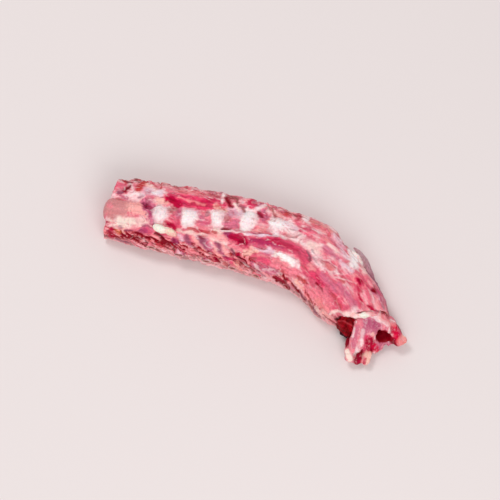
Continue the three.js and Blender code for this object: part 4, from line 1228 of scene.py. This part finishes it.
def capsule_field(x, y, z):
    """Rods end to end round the ring, flattened, with a thicker wet middle."""
    route = [(-9, -20, 25), (-5, -15, 28.5), (0, -10, 30), (3, -3, 30.6), (4.5, 3, 30.3), (7, 8, 29)]
    radii = [1.6, 2.6, 2.4, 2.7, 2.2, 0.8]
    band = 1e3
    for start, end, first, last in zip(route, route[1:], radii, radii[1:]):
        band = smooth_min(band, rod(x, y, z, start, end, first, last), 1.5)
    return band + 0.5 * rough_noise(x / 4, y / 5, z / 4, seed=185)


points, faces = skin_of(capsule_field, (-16, -30, 14), (16, 24, 38), 0.6)
x, y, z = points.T
wavy = y + 1.5 * noise(x / 3, y / 3, seed=186)
cloudy = rough_noise(x / 3, y / 4, z / 3, seed=187)
shades = hex_to_linear("#F9DAD6") * (1 + 0.06 * cloudy)[:, None]
shades = covered(shades, "#EFEDE0", ramp(wavy, -9, -5) * ramp(-wavy, -1, 2))
shades = covered(shades, "#F0A8A8", 0.6 * ramp(cloudy, 0.1, 0.6))
shades = covered(shades, "#EE9AA0", 0.8 * ramp(wavy, 0, 4))
mesh_piece("joint_capsule", beside_atlas(x, y, z), faces, shades, wet_cartilage)

# ---- Neck sliver ----
# A thin leaf of flesh that the knife cut loose along the far side of the neck. It is still grown on
# towards the atlas, and its greyish purple tip stands free.
SLIVER_START, SLIVER_LENGTH = 220, 46
SLIVER_BOTTOM, SLIVER_HALF_HEIGHT, SLIVER_HALF_THICKNESS = 25, 6.8, 3.9
around = 2 * np.pi * np.arange(40) / 40
part, turn = np.meshgrid(np.linspace(0.005, 0.995, 90), around, indexing="ij")
full = np.sin(np.pi * (0.015 + 0.945 * part)) ** 0.7  # a pointed tip and a blunter grown end
tall = SLIVER_HALF_HEIGHT * full * (0.5 + 0.5 * ramp(part, 0, 0.5))
ripple = rough_noise(part * 12, 2 * np.cos(turn), 2 * np.sin(turn), seed=180)
along = SLIVER_START + SLIVER_LENGTH * part
up = SLIVER_BOTTOM + SLIVER_HALF_HEIGHT * full - tall + (tall + 0.5 * ripple) * np.sin(turn)
middle = 21.5 + 10.5 * (1 - ramp(part, 0.05, 0.78))
thick = (SLIVER_HALF_THICKNESS + 0.7 * ripple) * full
rings = place(along, middle - thick * np.cos(turn), up)
shades, _ = tissue_at(along, 22 + 0.9 * (36 - up))
grain = rough_noise(part * 10, turn * 3, seed=181)
edge = ramp(np.sin(turn) + 0.3 * np.cos(turn) + 0.3 * grain, -0.6, 0.3)
leaf = covered(hex_to_linear("#B08890"), "#96506A", ramp(part + 0.2 * grain, 0.3, 0.9))
leaf *= (1 + 0.3 * rough_noise(part * 26, turn * 4, seed=182))[..., None]
shades = covered(shades, leaf, 0.9 * edge)
lofted("neck_sliver", rings, shades, raw_flesh)

# ---- Fat beside the neck ----
# Soft white fat and membrane fill the gap between the neck and the free tip of the leaf. They turn
# pink towards the atlas.


def fat_field(x, y, z):
    """Flat lumps in a row that run together, with a lumpy skin."""
    fat = lump(x, y, z, (229, 25.5, 27), (8, 3.8, 5), 0, -14)
    fat = smooth_min(fat, lump(x, y, z, (237, 22, 26), (7, 3, 5), 0, -18), 3)
    return fat + 0.6 * rough_noise(x / 3.5, y / 2.5, z / 3, seed=195)


points, faces = skin_of(fat_field, (219, 18, 18), (248, 34, 36), 0.6)
x, y, z = points.T
cloudy = rough_noise(x / 3.5, y / 3, z / 3, seed=196)
shades = covered(hex_to_linear("#FDF1EC"), "#F5BFC0", 0.7 * ramp(cloudy, 0.1, 0.8))
shades = covered(shades, "#EFA6B0", 0.7 * ramp(x, 234, 242))
mesh_piece("neck_fat", place(x, y, z), faces, shades, wet_cartilage)

# ---- Clot beside the atlas ----
# The joint between the neck and the near wing of the atlas gapes, and dark blood fills it. Its dark
# red is partly painted shade of the gap.


def clot_field(x, y, z):
    """Lumps run together, with a wrinkled skin."""
    body = smooth_min(
        lump(x, y, z, (-2, -20, 16), (8, 7, 13)), lump(x, y, z, (4, -18, 13), (7, 6, 13)), 3
    )
    body = smooth_min(body, lump(x, y, z, (0, -13, 19), (6, 5, 9)), 3)
    return np.maximum(body + 1.3 * rough_noise(x / 3.2, y / 2.6, z / 3.2, seed=190), 1.0 - z)


points, faces = skin_of(clot_field, (-14, -32, -1), (16, -2, 32), 0.7)
x, y, z = points.T
lobed = rough_noise(x / 4, y / 3, z / 4, seed=191)
shades = covered(hex_to_linear("#7E000A"), "#A81426", 0.7 * ramp(lobed, 0.2, 0.7))
shades = covered(shades, "clot", 0.6 * ramp(-lobed, 0.1, 0.6))
membrane = bell(y - 0.9 * x, -21, 1.1) * ramp(z, 8, 14)
shades = covered(shades, "#B04A50", 0.8 * membrane)
# painted shade: the clot darkens to near black low down, at the bottom of the gap
shades = covered(shades, "#2A0016", ramp(-z, -16, -9))
blood = material("clotted blood", 0.6, 0.03, 0.15, 2.5, 0.0)
mesh_piece("blood_clot", beside_atlas(x, y, z), faces, shades, blood)

# ---- Trimmings ----
# Along the near flank the knife went through thin muscles and fascia, whose cut edges hang over
# each other in strips. The far rim has short tags of the same.
STRIP_STEPS, STRIP_SIDES = 22, 12
random = np.random.default_rng(7)
strip_turn = 2 * np.pi * np.arange(STRIP_SIDES) / STRIP_SIDES


def ribbon(points, outward, half_width, half_thickness):
    """Rings of a flat strip of meat along a path: an oval that lies on the skin, widest in the
    middle and tapered to both ends."""
    ahead = np.gradient(points, axis=0)
    ahead /= np.linalg.norm(ahead, axis=1)[:, None]
    sideways = np.cross(outward, ahead)
    sideways /= np.linalg.norm(sideways, axis=1)[:, None]
    part = np.linspace(0, 1, len(points))
    taper = np.sin(np.pi * (0.03 + 0.94 * part)) ** 0.55
    cos, sin = np.cos(strip_turn)[:, None], np.sin(strip_turn)[:, None]
    width = (half_width * taper)[:, None, None]
    thick = (half_thickness * taper)[:, None, None]
    return points[:, None] + sideways[:, None] * cos * width + outward[:, None] * sin * thick


def trimming(name, start, run, half_width, thickness, tint, lift):
    """One strip on the skin, from a place on it and running some way along and over it. Its colour
    lies between its own tint and that of the skin under it."""
    part = np.linspace(0, 1, STRIP_STEPS)
    wave = rough_noise(part * 4, start[0], start[1], seed=200)
    along = start[0] + run[0] * part
    over_skin = start[1] + run[1] * part + 0.9 * wave
    points, outward = on_skin(along, over_skin)
    points = points + outward * (lift * np.sin(np.pi * part) ** 0.5)[:, None]
    rings = ribbon(points, outward, half_width, thickness)
    rings += 0.25 * rough_noise(*(rings.transpose(2, 0, 1) / 1.6), seed=201)[..., None]
    rings[..., 2] = np.maximum(rings[..., 2], 0.05)
    grain = rough_noise(*(rings.transpose(2, 0, 1) / 1.5), seed=202)[..., None]
    under, _ = tissue_at(along, over_skin)
    shades = 0.5 * (hex_to_linear(TISSUES[tint]) + under[:, None]) * (1 + 0.25 * grain)
    shades = covered(shades, "bright trim", 0.2 * np.abs(np.cos(strip_turn)) ** 3)
    lofted(name, rings, shades, raw_flesh)


NEAR_TINTS = ["bright trim", "muscle", "pink muscle", "dark muscle", "bright trim", "crimson"]
for k in range(18):
    start = (17 + 7.5 * k + random.uniform(-3, 3), -30 - 14 * random.random())
    run = (random.uniform(10, 24), random.uniform(-10, -4))
    trimming(
        f"near_trimming_{k + 1}", start, run, random.uniform(0.8, 1.7), random.uniform(0.5, 1.0),
        NEAR_TINTS[k % len(NEAR_TINTS)], random.uniform(0.1, 0.7),
    )
FAR_TINTS = ["brown", "pink muscle", "grey", "muscle", "rose", "mauve"]
for k in range(22):
    start = (4 + 9 * k + random.uniform(-3, 3), random.uniform(23, 30))
    run = (random.uniform(2, 9), random.uniform(-4, 5))
    trimming(
        f"far_tag_{k + 1}", start, run, random.uniform(0.7, 1.7), random.uniform(0.6, 1.3),
        FAR_TINTS[k % len(FAR_TINTS)], random.uniform(0.2, 0.8),
    )

# ---- Camera, floor and light ----
# A long lens looks down on it from the near side. The floor is plain and pale, and two wide soft
# lamps hang over it in a pale room.
LENS_MM, SENSOR_MM = 200, 36
VIEW_WIDTH = 0.4625  # in metres, where the camera is aimed
ELEVATION = np.radians(68)
FLOOR_HALF = 6  # in metres
aim = np.array([-0.0029, 0.0271, 0])
distance = VIEW_WIDTH * LENS_MM / SENSOR_MM
camera = bpy.data.objects.new("camera", bpy.data.cameras.new("camera"))
camera.data.lens, camera.data.sensor_width = LENS_MM, SENSOR_MM
camera.data.clip_start, camera.data.clip_end = 0.05, 50
camera.location = aim + distance * np.array([0, -np.cos(ELEVATION), np.sin(ELEVATION)])
camera.rotation_euler = (np.pi / 2 - ELEVATION, 0, 0)
bpy.context.collection.objects.link(camera)
bpy.context.scene.camera = camera

floor_mesh = bpy.data.meshes.new("floor")
floor_corners = FLOOR_HALF * np.array([[-1, -1, 0], [1, -1, 0], [1, 1, 0], [-1, 1, 0]])
floor_mesh.from_pydata(floor_corners.tolist(), [], [(0, 1, 2, 3)])
floor = bpy.data.objects.new("floor", floor_mesh)
bpy.context.collection.objects.link(floor)
paper = bpy.data.materials.new("pale matt paper")
paper.use_nodes = True
paper_shader = paper.node_tree.nodes["Principled BSDF"]
paper_shader.inputs["Base Color"].default_value = (*hex_to_linear("#E8DEDD"), 1)
paper_shader.inputs["Roughness"].default_value = 0.9
paper_shader.inputs["Specular IOR Level"].default_value = 0.1
floor_mesh.materials.append(paper)

world = bpy.data.worlds.new("pale room")
bpy.context.scene.world = world
world.use_nodes = True
world.node_tree.nodes["Background"].inputs["Color"].default_value = (1, 1, 1, 1)
world.node_tree.nodes["Background"].inputs["Strength"].default_value = 0.55
for name, watts, size, spot in (
    ("front softbox", 25, 1.6, (0.4, -1.9, 1.6)),
    ("back softbox", 19, 0.9, (-0.8, 0.8, 2.3)),
):
    lamp = bpy.data.objects.new(name, bpy.data.lights.new(name, "AREA"))
    lamp.data.shape, lamp.data.size, lamp.data.energy = "DISK", size, watts
    lamp.location = spot
    lamp.rotation_euler = Vector(spot).to_track_quat("Z", "Y").to_euler()
    bpy.context.collection.objects.link(lamp)
bpy.context.scene.view_settings.view_transform = "Standard"
